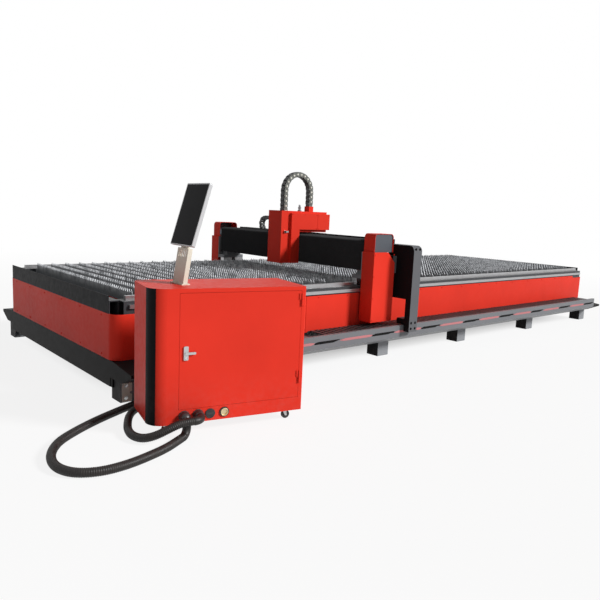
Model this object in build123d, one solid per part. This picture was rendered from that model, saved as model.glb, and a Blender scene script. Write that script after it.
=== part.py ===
"""Open-bed fiber laser cutting machine with its control cabinet.

The frame's origin is on the floor at the centre of the bed. +X runs along the
bed away from the operator's end, +Y runs to the far side and +Z is up. All
lengths are in millimetres. side is -1 on the cabinet's side and +1 on the far side.
"""
import math
import os
from build123d import *

# General clearances
OVERRUN = 1.0
RUNNING_GAP = 0.3
FIT_GAP = 0.3

# Bed: plan size, sheet covers and tubes
BED_LENGTH = 7814.0
BED_WIDTH = 2640.0
SHEET = 4.0
CORNER_RADIUS = 85.0
COVER_RETURN = 330.0
SIDE_PANEL_BOTTOM = 334.0
SIDE_PANEL_TOP = 690.0
PANEL_SEAM_INSET = 1947.0
SEAM_GAP = 4.0
END_COVER_BOTTOM = 300.0
END_COVER_TOP = 660.0
END_BOARD_TOP = 800.0
FOOT_HEIGHT = 165.0
TUBE_WIDTH = 140.0
TUBE_HEIGHT = 140.0
TUBE_WALL = 8.0
UPPER_TUBE_TOP = 760.0
POST_LENGTH = 120.0
CROSS_TUBE = 80.0
TABLE_BEAM_TOP = 640.0
BEARER_HEIGHT = 75.0
BEARER_THICKNESS = 12.0
BEARER_SHARES = (-0.8, 0.0, 0.8)

# Feet: folded channels on base plates with an anchor hole each
FOOT_LENGTH = 165.0
FOOT_WIDTH = 155.0
FOOT_OFFSET = 22.5
FOOT_INSET = 15.0
FOOT_WALL = 10.0
FOOT_BASE = 20.0
ANCHOR_HOLE_RADIUS = 11.0
FOOT_SHARES = (0.0, 0.19, 0.38, 0.57, 0.786, 1.0)

# End skirts and side trays
SKIRT_BOTTOM = 92.0
SKIRT_OUTER_TOP = 265.0
WING_LENGTH = 205.0
TRAY_REACH = 315.0
TRAY_KNEE_REACH = 150.0
TRAY_KNEE_RISE = 75.0
TRAY_FLOOR = 310.0
TRAY_TOP = 367.0
TRAY_LIP = 32.0
TRAY_SHEET = 5.0
SLOT_LENGTH = 200.0
SLOT_PITCH = 305.0
SLOT_HEIGHT = 12.0

# Cutting table
SLAT_PITCH = 150.0
TABLE_END_GAP = 157.0
SLAT_END_GAP = 16.0
SLAT_THICKNESS = 6.0
SLAT_HEIGHT = 110.0
SLAT_TOOTH_DEPTH = 32.0
SLAT_TEETH = 12

# Long guide rails and racks
RAIL_END_GAP = 127.0
RAIL_WIDTH = 34.0
RAIL_HEIGHT = 35.0
RACK_WIDTH = 25.0
RACK_HEIGHT = 30.0
RACK_TOP = 735.0

# Gantry
GANTRY_X = -1082.0
LEG_LENGTH = 320.0
LEG_GAP = 25.0
LEG_WIDTH = 165.0
LEG_BOTTOM = 400.0
LEG_SHOULDER = 1120.0
LEG_CHAMFER = 110.0
CAP_LENGTH = 282.0
CAP_STEP = 18.0
CAP_TOP = 1308.0
CAP_RADIUS = 40.0
CAP_PLATE_INSET = 10.0
COVER_SHEET = 3.0
SADDLE_PLATE = 40.0
SADDLE_BLOCK = 110.0
END_PLATE = 15.0
GUIDE_BLOCK_LENGTH = 130.0
GUIDE_BLOCK_WIDTH = 70.0
GUIDE_BLOCK_HEIGHT = 75.0
GUIDE_BLOCK_LIFT = 10.0
GUIDE_BLOCK_SPREAD = 182.0
BEAM_SETBACK = 12.0
BEAM_DEPTH = 220.0
BEAM_HEIGHT = 220.0
BEAM_BOTTOM = 945.0
BEAM_WALL = 12.0
PINION_RADIUS = 45.0
PINION_HEIGHT = 28.0
PINION_BORE_GAP = 5.0
DRIVE_SHAFT_RADIUS = 14.0
REDUCER_RADIUS = 38.0
REDUCER_HEIGHT = 85.0
MOTOR_SIZE = 78.0
MOTOR_HEIGHT = 120.0

# Cross rails, rack and bellows on the beam
CROSS_RAIL_WIDTH = 23.0
CROSS_RAIL_HEIGHT = 25.0
CROSS_RAIL_SPREAD = 166.0
CROSS_RACK_WIDTH = 25.0
BELLOWS_HALF_DEPTH = 136.0
BELLOWS_BOTTOM = 920.0
BELLOWS_TOP = 1241.0
BELLOWS_CORNER = 26.0
PLEAT_DEPTH = 16.0
PLEAT_PITCH = 45.0
BELLOWS_WALL = 3.0

# Tray for the cross drag chain, behind the beam
CHAIN_SHELF_BOTTOM = 1200.0
CHAIN_SHELF_SHEET = 5.0
CHAIN_SHELF_DEPTH = 88.0
CHAIN_SHELF_GAP = 3.0
CHAIN_SHELF_LIP = 46.0
CHAIN_SHELF_SEAT = 62.0
SHELF_BRACKET = 8.0
SHELF_BRACKET_HEIGHT = 300.0

# Riser behind the near leg, carrying the long drag chain's moving end
RISER_THICKNESS = 129.0
RISER_GAP = 58.0
RISER_INSET = 20.0
RISER_REACH = 75.0
RISER_TOP = 1200.0
RISER_ARCH = 640.0
RISER_BOTTOM = 300.0
RISER_RADIUS = 60.0
RISER_WALL_GAP = 6.0
RISER_SHELF_HEIGHT = 58.0
RISER_SHELF_REACH = 95.0
RISER_ARM_WIDTH = 120.0
RISER_ARM_BOTTOM = 900.0
RISER_ARM_HEIGHT = 180.0

# Carriage and its housing on the beam
CARRIAGE_Y = -146.0
HOUSING_WIDTH = 238.0
HOUSING_FRONT_REACH = 373.0
HOUSING_NECK_REACH = 126.0
HOUSING_BACK_REACH = 322.0
HOUSING_BOTTOM = 905.0
HOUSING_REAR_BOTTOM = 1262.0
HOUSING_DOORWAY_GAP = 20.0
HOUSING_TOP = 1500.0
SIDE_COVER_RISE = 34.0
SIDE_COVER_INSET = 125.0
SIDE_COVER_OVERHANG = 22.0
SIDE_COVER_BOTTOM = 1290.0
SIDE_COVER_TOP = 1475.0
SIDE_COVER_SEAM_INSET = 170.0
CARRIAGE_PLATE = 20.0
CARRIAGE_FRONT_PLATE = 18.0
CARRIAGE_PLATE_WIDTH = 200.0
CROSS_BLOCK_LENGTH = 80.0
CROSS_BLOCK_WIDTH = 48.0
CROSS_BLOCK_HEIGHT = 50.0
CROSS_BLOCK_LIFT = 7.0
CROSS_BLOCK_SPREAD = 110.0
CROSS_PINION_RADIUS = 25.0
CROSS_MOTOR_SIZE = 70.0
CROSS_MOTOR_HEIGHT = 150.0
LIFT_DEPTH = 40.0
LIFT_WIDTH = 120.0
LIFT_BOTTOM = 930.0
LIFT_HEIGHT = 510.0
LATCH_PLATE = 26.0
LATCH_DEPTH = 8.0
LATCH_INSET = 50.0
LATCH_Z = 1262.0
LATCH_LENGTH = 62.0

# Cutting head
HEAD_INSET = 124.0
HEAD_BLOCK = 100.0
HEAD_BLOCK_BOTTOM = 1010.0
HEAD_BLOCK_HEIGHT = 170.0
COLLIMATOR_RADIUS = 40.0
COLLIMATOR_HEIGHT = 120.0
FIBRE_SOCKET_RADIUS = 20.0
FIBRE_SOCKET_HEIGHT = 30.0
LENS_BARREL_RADIUS = 38.0
LENS_BARREL_HEIGHT = 90.0
NOZZLE_CONE_HEIGHT = 34.0
NOZZLE_CONE_RADIUS = 14.0
NOZZLE_HEIGHT = 14.0
NOZZLE_TIP_RADIUS = 6.0
NOZZLE_BORE_RADIUS = 1.5
SLIDE_HEIGHT = 190.0
SLIDE_WIDTH = 140.0

# Drag chains: links are hexagonal in side view and hinge at their points
LONG_CHAIN_PITCH = 64.0
LONG_CHAIN_THICKNESS = 50.0
LONG_CHAIN_GAP = 30.0
LONG_CHAIN_WIDTH = 245.0
LONG_CHAIN_START_GAP = 1957.0
LONG_CHAIN_END_GAP = 307.0
CROSS_CHAIN_PITCH = 50.0
CROSS_CHAIN_THICKNESS = 50.0
CROSS_CHAIN_WIDTH = 65.0
CROSS_CHAIN_RADIUS = 85.0
CROSS_CHAIN_LOOP_GAP = 585.0
CROSS_CHAIN_FIXED_Y = -400.0
CROSS_CHAIN_END_GAP = 110.0
CROSS_LOOP_ANGLE = 66.0
HEAD_CHAIN_PITCH = 55.0
HEAD_CHAIN_THICKNESS = 60.0
HEAD_CHAIN_WIDTH = 75.0
HEAD_CHAIN_RADIUS = 193.0
HEAD_CHAIN_RISE = 230.0
SLEEVE_HEIGHT = 60.0
SLEEVE_WALL = 8.0
CHAIN_SLOT_GAP = 6.0
LINK_TAPER_SHARE = 0.52

# Control cabinet, turned about the vertical beside the bed's near corner
CABINET_REACH = 148.0
CABINET_GAP = 890.0
CABINET_TURN_ANGLE = -13.5
CABINET_WIDTH = 1100.0
CABINET_DEPTH = 500.0
CABINET_BOTTOM = 82.0
CABINET_TOP = 980.0
CABINET_WALL = 3.0
CABINET_LEFT_RADIUS = 110.0
CABINET_REAR_RADIUS = 60.0
CABINET_RIGHT_RADIUS = 10.0
BAND_START_ANGLE = 183.0
BAND_SPAN_ANGLE = 49.0
BAND_THICKNESS = 2.0
DOOR_LEFT = 190.0
DOOR_RIGHT_INSET = 34.0
DOOR_LIFT = 96.0
DOOR_DROP = 28.0
DOOR_DEPTH = 18.0
DOOR_GAP = 2.0
DOOR_SHEET = 3.0
DOOR_HINGE_RADIUS = 6.0
DOOR_HINGE_HEIGHT = 44.0
DOOR_HINGE_LEAF = 20.0
DOOR_HINGE_SHARES = (0.14, 0.86)
LOCK_INSET = 44.0
LOCK_RISE = 379.0
LOCK_WIDTH = 30.0
LOCK_HEIGHT = 92.0
LOCK_DEPTH = 8.0
LEVER_LENGTH = 64.0
LEVER_WIDTH = 16.0
LEVER_DEPTH = 9.0
SOURCE_WIDTH = 480.0
SOURCE_DEPTH = 400.0
SOURCE_HEIGHT = 230.0
SOURCE_LEFT = 200.0
BACKPLATE_MARGIN = 92.0
BACKPLATE_BOTTOM = 430.0
BACKPLATE_THICKNESS = 6.0
DRIVE_WIDTH = 70.0
DRIVE_HEIGHT = 220.0
DRIVE_DEPTH = 130.0
DRIVE_PITCH = 110.0
DRIVE_COUNT = 5
DRIVE_BOTTOM = 560.0

# Casters
CASTER_INSET_X = 110.0
CASTER_INSET_Y = 85.0
CASTER_WHEEL_RADIUS = 30.0
CASTER_WHEEL_WIDTH = 22.0
CASTER_TRAIL = 22.0
CASTER_PLATE = 64.0
CASTER_PLATE_THICKNESS = 4.0
CASTER_FORK_SHEET = 4.0
CASTER_FORK_GAP = 1.0
CASTER_FORK_TOP = 6.0
CASTER_HEAD_RADIUS = 24.0
CASTER_AXLE_RADIUS = 4.0
CASTER_BORE_GAP = 0.05
CASTER_CHEEK_RADIUS = 15.0
PEDAL_REACH = 72.0
PEDAL_DROP = 20.0
PEDAL_WIDTH = 22.0
PEDAL_SHEET = 4.0

# Hose ports on the cabinet's lower strip
PORT_RISE = 51.0
PORT_RADIUS = 34.0
PORT_LIP = 6.0
PORT_HOLE_RADIUS = 20.0
PORT_PLACES = (229.0, 324.0, 408.0, 507.0)
HOSE_RADIUS = 28.0
ELBOW_SMALL_STRAIGHT = 12.0
ELBOW_WIDE_RADIUS = 60.0
ELBOW_WIDE_STRAIGHT = 52.0
SOCKET_RADIUS = 22.0

# Pedestal and screen, turned about the vertical towards the operator
PEDESTAL_U = 259.0
PEDESTAL_V = 250.0
PEDESTAL_WIDTH = 146.0
PEDESTAL_DEPTH = 32.0
PEDESTAL_WALL = 3.0
PEDESTAL_NECK = 26.0
PEDESTAL_NECK_DEPTH = 16.0
PEDESTAL_FOOT_MARGIN = 14.0
PEDESTAL_FOOT_HEIGHT = 8.0
LOUVRE_COUNT = 5
LOUVRE_WIDTH = 8.0
LOUVRE_HEIGHT = 42.0
LOUVRE_PITCH = 22.0
LOUVRE_TOP_GAP = 16.0
SCREEN_SWIVEL_ANGLE = 11.8
SCREEN_TILT_ANGLE = 17.0
SCREEN_WIDTH = 302.0
SCREEN_HEIGHT = 437.0
SCREEN_DEPTH = 24.0
SCREEN_SETBACK = 14.0
SCREEN_LIFT = 256.0
SCREEN_CORNER = 9.0
BEZEL = 8.0
GLASS = 3.0
HINGE_RADIUS = 11.0
HINGE_WIDTH = 92.0
HINGE_RISE = 18.0
HINGE_SETBACK = 12.0
HINGE_EAR = 14.0
HINGE_PIN_RADIUS = 5.0

# Hose inlet under the bed, and the two hoses' routes on the floor from the bed's near corner
INLET_INSET = 227.0
INLET_LENGTH = 280.0
INLET_DEPTH = 70.0
INLET_THICKNESS = 10.0
INLET_BOTTOM = 4.0
FLOOR_HOSE_Z = 29.0
FIRST_RUN = 80.0
LOOP_HOSE_ROUTE = (
    (-163, -1135), (-293, -1180), (-443, -1220), (-603, -1225), (-733, -1160), (-788, -1025),
    (-758, -850), (-658, -680), (-508, -560), (-328, -445), (-143, -350), (27, -270),
    (187, -180), (295, -85), (337, -2), (337, 70),
)
CORNER_HOSE_ROUTE = (
    (-78, -1022, 100), (-161, -985, 58), (-213, -920, 34), (-235, -825, 29), (-211, -710, 29),
    (-153, -585, 29), (-88, -470, 29), (-8, -377, 29), (107, -305, 29), (247, -225, 29),
    (359, -120, 29), (417, -10, 29), (417, 70, 29),
)
BEND_SHARE = 0.45

# Places that follow from the sizes above
HALF_LENGTH = BED_LENGTH / 2
HALF_WIDTH = BED_WIDTH / 2
FRAME_HALF = HALF_LENGTH - SHEET - CORNER_RADIUS
PANEL_SEAM_X = PANEL_SEAM_INSET - HALF_LENGTH
TUBE_OUTER_Y = HALF_WIDTH - SHEET
TUBE_INNER_Y = TUBE_OUTER_Y - TUBE_WIDTH
TUBE_CENTRE_Y = TUBE_OUTER_Y - TUBE_WIDTH / 2
FOOT_CENTRE_Y = HALF_WIDTH + FOOT_OFFSET
FIRST_FOOT_X = -HALF_LENGTH + FOOT_INSET + FOOT_LENGTH / 2
FOOT_SPAN = -2 * FIRST_FOOT_X
FOOT_PLACES = [FIRST_FOOT_X + share * FOOT_SPAN for share in FOOT_SHARES]
UPPER_TUBE_BOTTOM = UPPER_TUBE_TOP - TUBE_HEIGHT
LOWER_TUBE_TOP = FOOT_HEIGHT + TUBE_HEIGHT
RAIL_TOP = UPPER_TUBE_TOP + RAIL_HEIGHT
GUIDE_TOP = RAIL_TOP - RAIL_HEIGHT + GUIDE_BLOCK_HEIGHT + RUNNING_GAP
SADDLE_TOP = GUIDE_TOP + SADDLE_PLATE
TRAY_OUTER_Y = HALF_WIDTH + TRAY_REACH
TRAY_KNEE_Y = HALF_WIDTH + TRAY_KNEE_REACH
SLAT_COUNT = round((BED_LENGTH - 2 * TABLE_END_GAP) / SLAT_PITCH)
SLAT_LENGTH = 2 * (TUBE_INNER_Y - SLAT_END_GAP)
RAIL_LENGTH = BED_LENGTH - 2 * RAIL_END_GAP
LEG_INNER_Y = HALF_WIDTH + LEG_GAP
LEG_OUTER_Y = LEG_INNER_Y + LEG_WIDTH
CAP_OUTER_Y = LEG_OUTER_Y - CAP_STEP
LEG_FRONT_X = GANTRY_X - LEG_LENGTH / 2
LEG_BACK_X = GANTRY_X + LEG_LENGTH / 2
BEAM_TOP = BEAM_BOTTOM + BEAM_HEIGHT
BEAM_X = GANTRY_X + BEAM_SETBACK
BEAM_FRONT_X = BEAM_X - BEAM_DEPTH / 2
BEAM_BACK_X = BEAM_X + BEAM_DEPTH / 2
BEAM_HALF = LEG_INNER_Y - END_PLATE
RACK_FACE_Y = TUBE_OUTER_Y + RACK_WIDTH
PINION_Y = RACK_FACE_Y + RUNNING_GAP + PINION_RADIUS
BELLOWS_FRONT_X = BEAM_X - BELLOWS_HALF_DEPTH
BELLOWS_BACK_X = BEAM_X + BELLOWS_HALF_DEPTH
SHELF_X = BELLOWS_BACK_X + CHAIN_SHELF_GAP
SHELF_TOP = CHAIN_SHELF_BOTTOM + CHAIN_SHELF_SHEET
CROSS_CHAIN_X = SHELF_X + (CHAIN_SHELF_DEPTH - CHAIN_SHELF_SHEET) / 2
CROSS_CHAIN_LOW_Z = SHELF_TOP + RUNNING_GAP + CROSS_CHAIN_THICKNESS / 2
RISER_FRONT_X = LEG_BACK_X + RISER_GAP
RISER_INNER_Y = LEG_INNER_Y + RISER_INSET
RISER_OUTER_Y = TRAY_OUTER_Y + RISER_REACH
RISER_SHELF_Y = TRAY_OUTER_Y - RISER_SHELF_REACH
HOUSING_FRONT_X = GANTRY_X - HOUSING_FRONT_REACH
HOUSING_NECK_X = GANTRY_X - HOUSING_NECK_REACH
HOUSING_BACK_X = GANTRY_X + HOUSING_BACK_REACH
SIDE_COVER_START_X = HOUSING_FRONT_X + SIDE_COVER_INSET
SIDE_COVER_BACK_X = HOUSING_BACK_X + SIDE_COVER_OVERHANG
SIDE_COVER_SEAM_X = HOUSING_BACK_X - SIDE_COVER_SEAM_INSET
LATCH_X = HOUSING_FRONT_X + LATCH_INSET
HEAD_X = HOUSING_FRONT_X + HEAD_INSET
HEAD_CHAIN_CENTRE_Z = HOUSING_TOP + HEAD_CHAIN_RISE
HOUSING_NEAR_Y = CARRIAGE_Y - HOUSING_WIDTH / 2
HOUSING_FAR_Y = CARRIAGE_Y + HOUSING_WIDTH / 2
CARRIAGE_BLOCK_TOP = BEAM_TOP + CROSS_BLOCK_HEIGHT + RUNNING_GAP
CARRIAGE_TOP = CARRIAGE_BLOCK_TOP + CARRIAGE_PLATE
CROSS_MOTOR_X = BEAM_X + CROSS_RACK_WIDTH / 2 + CROSS_PINION_RADIUS
LIFT_FRONT_X = HOUSING_NECK_X - LIFT_DEPTH
HEAD_TOP = HEAD_BLOCK_BOTTOM + HEAD_BLOCK_HEIGHT + COLLIMATOR_HEIGHT + FIBRE_SOCKET_HEIGHT
LENS_BOTTOM = HEAD_BLOCK_BOTTOM - LENS_BARREL_HEIGHT
NOZZLE_TOP = LENS_BOTTOM - NOZZLE_CONE_HEIGHT
SLAT_BOTTOM = TABLE_BEAM_TOP + BEARER_HEIGHT
LONG_CHAIN_INNER_Y = HALF_WIDTH + LONG_CHAIN_GAP
LONG_CHAIN_START_X = LONG_CHAIN_START_GAP - HALF_LENGTH
LONG_CHAIN_END_X = HALF_LENGTH - LONG_CHAIN_END_GAP
CROSS_CHAIN_LOOP_Y = LEG_INNER_Y - CROSS_CHAIN_LOOP_GAP
CROSS_CHAIN_END_Y = LEG_INNER_Y - CROSS_CHAIN_END_GAP
LONG_CHAIN_Z = TRAY_FLOOR + RUNNING_GAP + LONG_CHAIN_THICKNESS / 2
BED_CORNER = Vector(-HALF_LENGTH, -HALF_WIDTH, 0)
CABINET_CORNER = BED_CORNER - Vector(CABINET_REACH, CABINET_GAP, 0)
CABINET_PLACE = Location(CABINET_CORNER, (0, 0, CABINET_TURN_ANGLE))
DOOR_RIGHT = CABINET_WIDTH - DOOR_RIGHT_INSET
DOOR_BOTTOM = CABINET_BOTTOM + DOOR_LIFT
DOOR_TOP = CABINET_TOP - DOOR_DROP
LOCK_Z = DOOR_BOTTOM + LOCK_RISE
PORT_Z = CABINET_BOTTOM + PORT_RISE


def block(x, y, z):
    """Box between two x, two y and two z positions."""
    middle = [(low + high) / 2 for low, high in (x, y, z)]
    return Pos(*middle) * Box(x[1] - x[0], y[1] - y[0], z[1] - z[0])


def about(centre, size):
    """The two ends of a size that is centred on a place."""
    return (centre - size / 2, centre + size / 2)


def on_side(side, inner, outer):
    """The two y positions of a piece between two distances from the centre line."""
    return tuple(sorted((side * inner, side * outer)))


def square_tube(x, y, z, wall, along):
    """Hollow tube between those positions, open at both ends along one axis."""
    inner = []
    for axis, (low, high) in zip("xyz", (x, y, z)):
        cut = (low - OVERRUN, high + OVERRUN) if axis == along else (low + wall, high - wall)
        inner.append(cut)
    return block(x, y, z) - block(*inner)


def group(pieces):
    """Separate solids kept together as one node."""
    return Compound([solid for piece in pieces for solid in piece.solids()])


def drawn(points, plane, depth):
    """Closed outline of straight edges, extruded along the plane's normal."""
    return extrude(plane * make_face(Polyline(*points, close=True)), amount=depth)


def upright(radius, x, y, z):
    """Cylinder standing between two heights."""
    return Pos(x, y, (z[0] + z[1]) / 2) * Cylinder(radius, z[1] - z[0])


# Bed

def feet():
    """Channel feet, open towards the bed's middle, each on a drilled base plate."""
    pieces = []
    for x in FOOT_PLACES:
        for side in (-1, 1):
            outer_x = about(x, FOOT_LENGTH)
            inner_y = FOOT_CENTRE_Y - FOOT_WIDTH / 2
            outer_y = FOOT_CENTRE_Y + FOOT_WIDTH / 2
            foot = block(outer_x, on_side(side, inner_y, outer_y), (0, FOOT_HEIGHT))
            foot -= block(
                (outer_x[0] + FOOT_WALL, outer_x[1] - FOOT_WALL),
                on_side(side, inner_y - OVERRUN, outer_y - FOOT_WALL),
                (FOOT_BASE, FOOT_HEIGHT - FOOT_WALL),
            )
            foot -= upright(ANCHOR_HOLE_RADIUS, x, side * FOOT_CENTRE_Y, (-OVERRUN, FOOT_BASE + OVERRUN))
            pieces.append(foot)
    return group(pieces)


def side_frame(side):
    """Lower and upper long tubes of one side, with the posts between them."""
    y = on_side(side, TUBE_INNER_Y, TUBE_OUTER_Y)
    long_x = (-FRAME_HALF, FRAME_HALF)
    pieces = [
        square_tube(long_x, y, (FOOT_HEIGHT, LOWER_TUBE_TOP), TUBE_WALL, "x"),
        square_tube(long_x, y, (UPPER_TUBE_BOTTOM, UPPER_TUBE_TOP), TUBE_WALL, "x"),
    ]
    for x in post_places():
        post_z = (LOWER_TUBE_TOP, UPPER_TUBE_BOTTOM)
        pieces.append(square_tube(about(x, POST_LENGTH), y, post_z, TUBE_WALL, "z"))
    return group(pieces)


def post_places():
    """Posts stand over the feet, kept clear of the frame's ends."""
    limit = FRAME_HALF - POST_LENGTH / 2
    return [max(-limit, min(limit, x)) for x in FOOT_PLACES]


def cross_frame():
    """Cross tubes between the two side frames, low and under the table."""
    y = (-TUBE_INNER_Y, TUBE_INNER_Y)
    pieces = []
    for x in post_places():
        pieces.append(square_tube(about(x, POST_LENGTH), y, (FOOT_HEIGHT, LOWER_TUBE_TOP), TUBE_WALL, "y"))
        table_z = (SLAT_BOTTOM - BEARER_HEIGHT - CROSS_TUBE, SLAT_BOTTOM - BEARER_HEIGHT)
        pieces.append(square_tube(about(x, POST_LENGTH), y, table_z, TUBE_WALL, "y"))
    return group(pieces)


def end_beam(end):
    """Two tubes across one end of the frame, which the end sheets are screwed to."""
    x = tuple(sorted((end * FRAME_HALF, end * (HALF_LENGTH - SHEET))))
    y = about(0, BED_WIDTH - 2 * CORNER_RADIUS)
    low = square_tube(x, y, (FOOT_HEIGHT, LOWER_TUBE_TOP), TUBE_WALL, "y")
    high = square_tube(x, y, (UPPER_TUBE_BOTTOM, UPPER_TUBE_TOP), TUBE_WALL, "y")
    return group([low, high])


def side_panel(side, x):
    """Flat painted sheet on one side of the frame."""
    return block(x, on_side(side, TUBE_OUTER_Y, HALF_WIDTH), (SIDE_PANEL_BOTTOM, SIDE_PANEL_TOP))


def panel_spans():
    """The x positions of the two panels of a side, with the seam between them."""
    ends = HALF_LENGTH - COVER_RETURN - FIT_GAP
    return ((-ends, PANEL_SEAM_X - SEAM_GAP / 2), (PANEL_SEAM_X + SEAM_GAP / 2, ends))


def end_cover(end):
    """Painted sheet across one end, bent round both corners."""
    outer = RectangleRounded(BED_LENGTH, BED_WIDTH, CORNER_RADIUS)
    inner = RectangleRounded(BED_LENGTH - 2 * SHEET, BED_WIDTH - 2 * SHEET, CORNER_RADIUS - SHEET)
    height = END_COVER_TOP - END_COVER_BOTTOM
    band = Pos(0, 0, END_COVER_BOTTOM) * extrude(outer - inner, amount=height)
    x = tuple(sorted((end * (HALF_LENGTH + OVERRUN), end * (HALF_LENGTH - COVER_RETURN))))
    return band & block(x, about(0, BED_WIDTH + OVERRUN), (END_COVER_BOTTOM, END_COVER_TOP))


def end_board(end):
    """Dark board over the end cover, closing the end of the table."""
    x = tuple(sorted((end * (HALF_LENGTH - SHEET), end * HALF_LENGTH)))
    y = about(0, BED_WIDTH - 2 * CORNER_RADIUS)
    return block(x, y, (END_COVER_TOP, END_BOARD_TOP))


def end_skirt(end):
    """Low end sheet that reaches out over the ends of both side trays as two wings."""
    foot_inner = FOOT_CENTRE_Y - FOOT_WIDTH / 2
    half = [
        (foot_inner, SKIRT_BOTTOM), (foot_inner, FOOT_HEIGHT), (TRAY_KNEE_Y, FOOT_HEIGHT),
        (TRAY_OUTER_Y, FOOT_HEIGHT + TRAY_KNEE_RISE), (TRAY_OUTER_Y, SKIRT_OUTER_TOP),
        (HALF_WIDTH, END_COVER_BOTTOM),
    ]
    outline = half + [(-y, z) for y, z in reversed(half)]
    plane = Plane.YZ.offset(end * HALF_LENGTH)
    skirt = drawn(outline, plane, -end * SHEET)
    for side in (-1, 1):
        wing = [(side * HALF_WIDTH, FOOT_HEIGHT)] + [(side * y, z) for y, z in half[2:]]
        skirt += drawn(wing, plane, -end * WING_LENGTH)
    return skirt


def side_tray(side):
    """Folded ledge along one side, hollow below and open above, with slots in its outer wall."""
    outline = [
        (HALF_WIDTH, FOOT_HEIGHT), (TRAY_KNEE_Y, FOOT_HEIGHT), (TRAY_OUTER_Y, FOOT_HEIGHT + TRAY_KNEE_RISE),
        (TRAY_OUTER_Y, TRAY_TOP), (TRAY_OUTER_Y - TRAY_LIP, TRAY_TOP), (TRAY_OUTER_Y - TRAY_LIP, TRAY_FLOOR),
        (HALF_WIDTH, TRAY_FLOOR),
    ]
    start = -HALF_LENGTH + WING_LENGTH
    face = make_face(Polyline(*[(side * y, z) for y, z in outline], close=True))
    hollow = offset(face, amount=-TRAY_SHEET, kind=Kind.INTERSECTION)
    tray = extrude(Plane.YZ.offset(start) * (face - hollow), amount=-2 * start)
    slot_z = about((FOOT_HEIGHT + TRAY_KNEE_RISE + TRAY_TOP) / 2, SLOT_HEIGHT)
    slot_y = on_side(side, TRAY_OUTER_Y - TRAY_SHEET - OVERRUN, TRAY_OUTER_Y + OVERRUN)
    count = int(-2 * start // SLOT_PITCH)
    slots = []
    for number in range(count):
        x = (number - (count - 1) / 2) * SLOT_PITCH
        slots.append(block(about(x, SLOT_LENGTH), slot_y, slot_z))
    return tray - slots


def slats():
    """Toothed steel slats that stand across the table."""
    half = SLAT_LENGTH / 2
    step = SLAT_LENGTH / (2 * SLAT_TEETH)
    top = SLAT_BOTTOM + SLAT_HEIGHT
    points = [(-half, SLAT_BOTTOM), (half, SLAT_BOTTOM)]
    for number in range(2 * SLAT_TEETH + 1):
        height = top if number % 2 else top - SLAT_TOOTH_DEPTH
        points.append((half - number * step, height))
    slat = drawn(points, Plane.YZ.offset(-SLAT_THICKNESS / 2), SLAT_THICKNESS)
    first = -(SLAT_COUNT - 1) * SLAT_PITCH / 2
    return group([Pos(first + number * SLAT_PITCH, 0, 0) * slat for number in range(SLAT_COUNT)])


def slat_bearers():
    """Long flat bars on the cross tubes, which the slats stand on."""
    x = about(0, (SLAT_COUNT - 1) * SLAT_PITCH + SLAT_PITCH)
    z = (SLAT_BOTTOM - BEARER_HEIGHT, SLAT_BOTTOM)
    return group([block(x, about(share * SLAT_LENGTH / 2, BEARER_THICKNESS), z) for share in BEARER_SHARES])


def long_rail(side):
    """Guide rail on top of one side frame."""
    y = about(side * TUBE_CENTRE_Y, RAIL_WIDTH)
    return block(about(0, RAIL_LENGTH), y, (UPPER_TUBE_TOP, RAIL_TOP))


def long_rack(side):
    """Drive rack on the outer face of one upper tube."""
    y = on_side(side, TUBE_OUTER_Y, RACK_FACE_Y)
    return block(about(0, RAIL_LENGTH), y, (RACK_TOP - RACK_HEIGHT, RACK_TOP))


# Gantry

def saddle(side):
    """Plate on the guide blocks, with the block under the beam and the beam's end plate."""
    x = (LEG_FRONT_X + COVER_SHEET, LEG_BACK_X - COVER_SHEET)
    inner_y = TUBE_CENTRE_Y - GUIDE_BLOCK_WIDTH / 2
    piece = block(x, on_side(side, inner_y, LEG_OUTER_Y - COVER_SHEET), (GUIDE_TOP, SADDLE_TOP))
    beam_x = (BEAM_FRONT_X, BEAM_BACK_X)
    piece += block(beam_x, on_side(side, BEAM_HALF - SADDLE_BLOCK, BEAM_HALF), (SADDLE_TOP, BEAM_BOTTOM))
    piece += block(x, on_side(side, BEAM_HALF, LEG_INNER_Y), (SADDLE_TOP, LEG_SHOULDER - COVER_SHEET))
    piece -= upright(DRIVE_SHAFT_RADIUS + PINION_BORE_GAP, GANTRY_X, side * PINION_Y,
                     (GUIDE_TOP - OVERRUN, SADDLE_TOP + OVERRUN))
    return piece


def guide_blocks(side):
    """Two recirculating blocks that ride one long rail."""
    y = side * TUBE_CENTRE_Y
    z = (GUIDE_TOP - GUIDE_BLOCK_HEIGHT + GUIDE_BLOCK_LIFT, GUIDE_TOP)
    pieces = []
    for place in about(GANTRY_X, GUIDE_BLOCK_SPREAD):
        piece = block(about(place, GUIDE_BLOCK_LENGTH), about(y, GUIDE_BLOCK_WIDTH), z)
        groove_z = (z[0] - OVERRUN, RAIL_TOP + RUNNING_GAP)
        groove_y = about(y, RAIL_WIDTH + 2 * RUNNING_GAP)
        piece -= block(about(place, GUIDE_BLOCK_LENGTH + OVERRUN), groove_y, groove_z)
        pieces.append(piece)
    return group(pieces)


def long_drive(side):
    """Servo motor on its round reducer, standing on the saddle."""
    y = side * PINION_Y
    reducer_top = SADDLE_TOP + REDUCER_HEIGHT
    piece = upright(REDUCER_RADIUS, GANTRY_X, y, (SADDLE_TOP, reducer_top))
    motor_z = (reducer_top, reducer_top + MOTOR_HEIGHT)
    return piece + block(about(GANTRY_X, MOTOR_SIZE), about(y, MOTOR_SIZE), motor_z)


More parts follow.
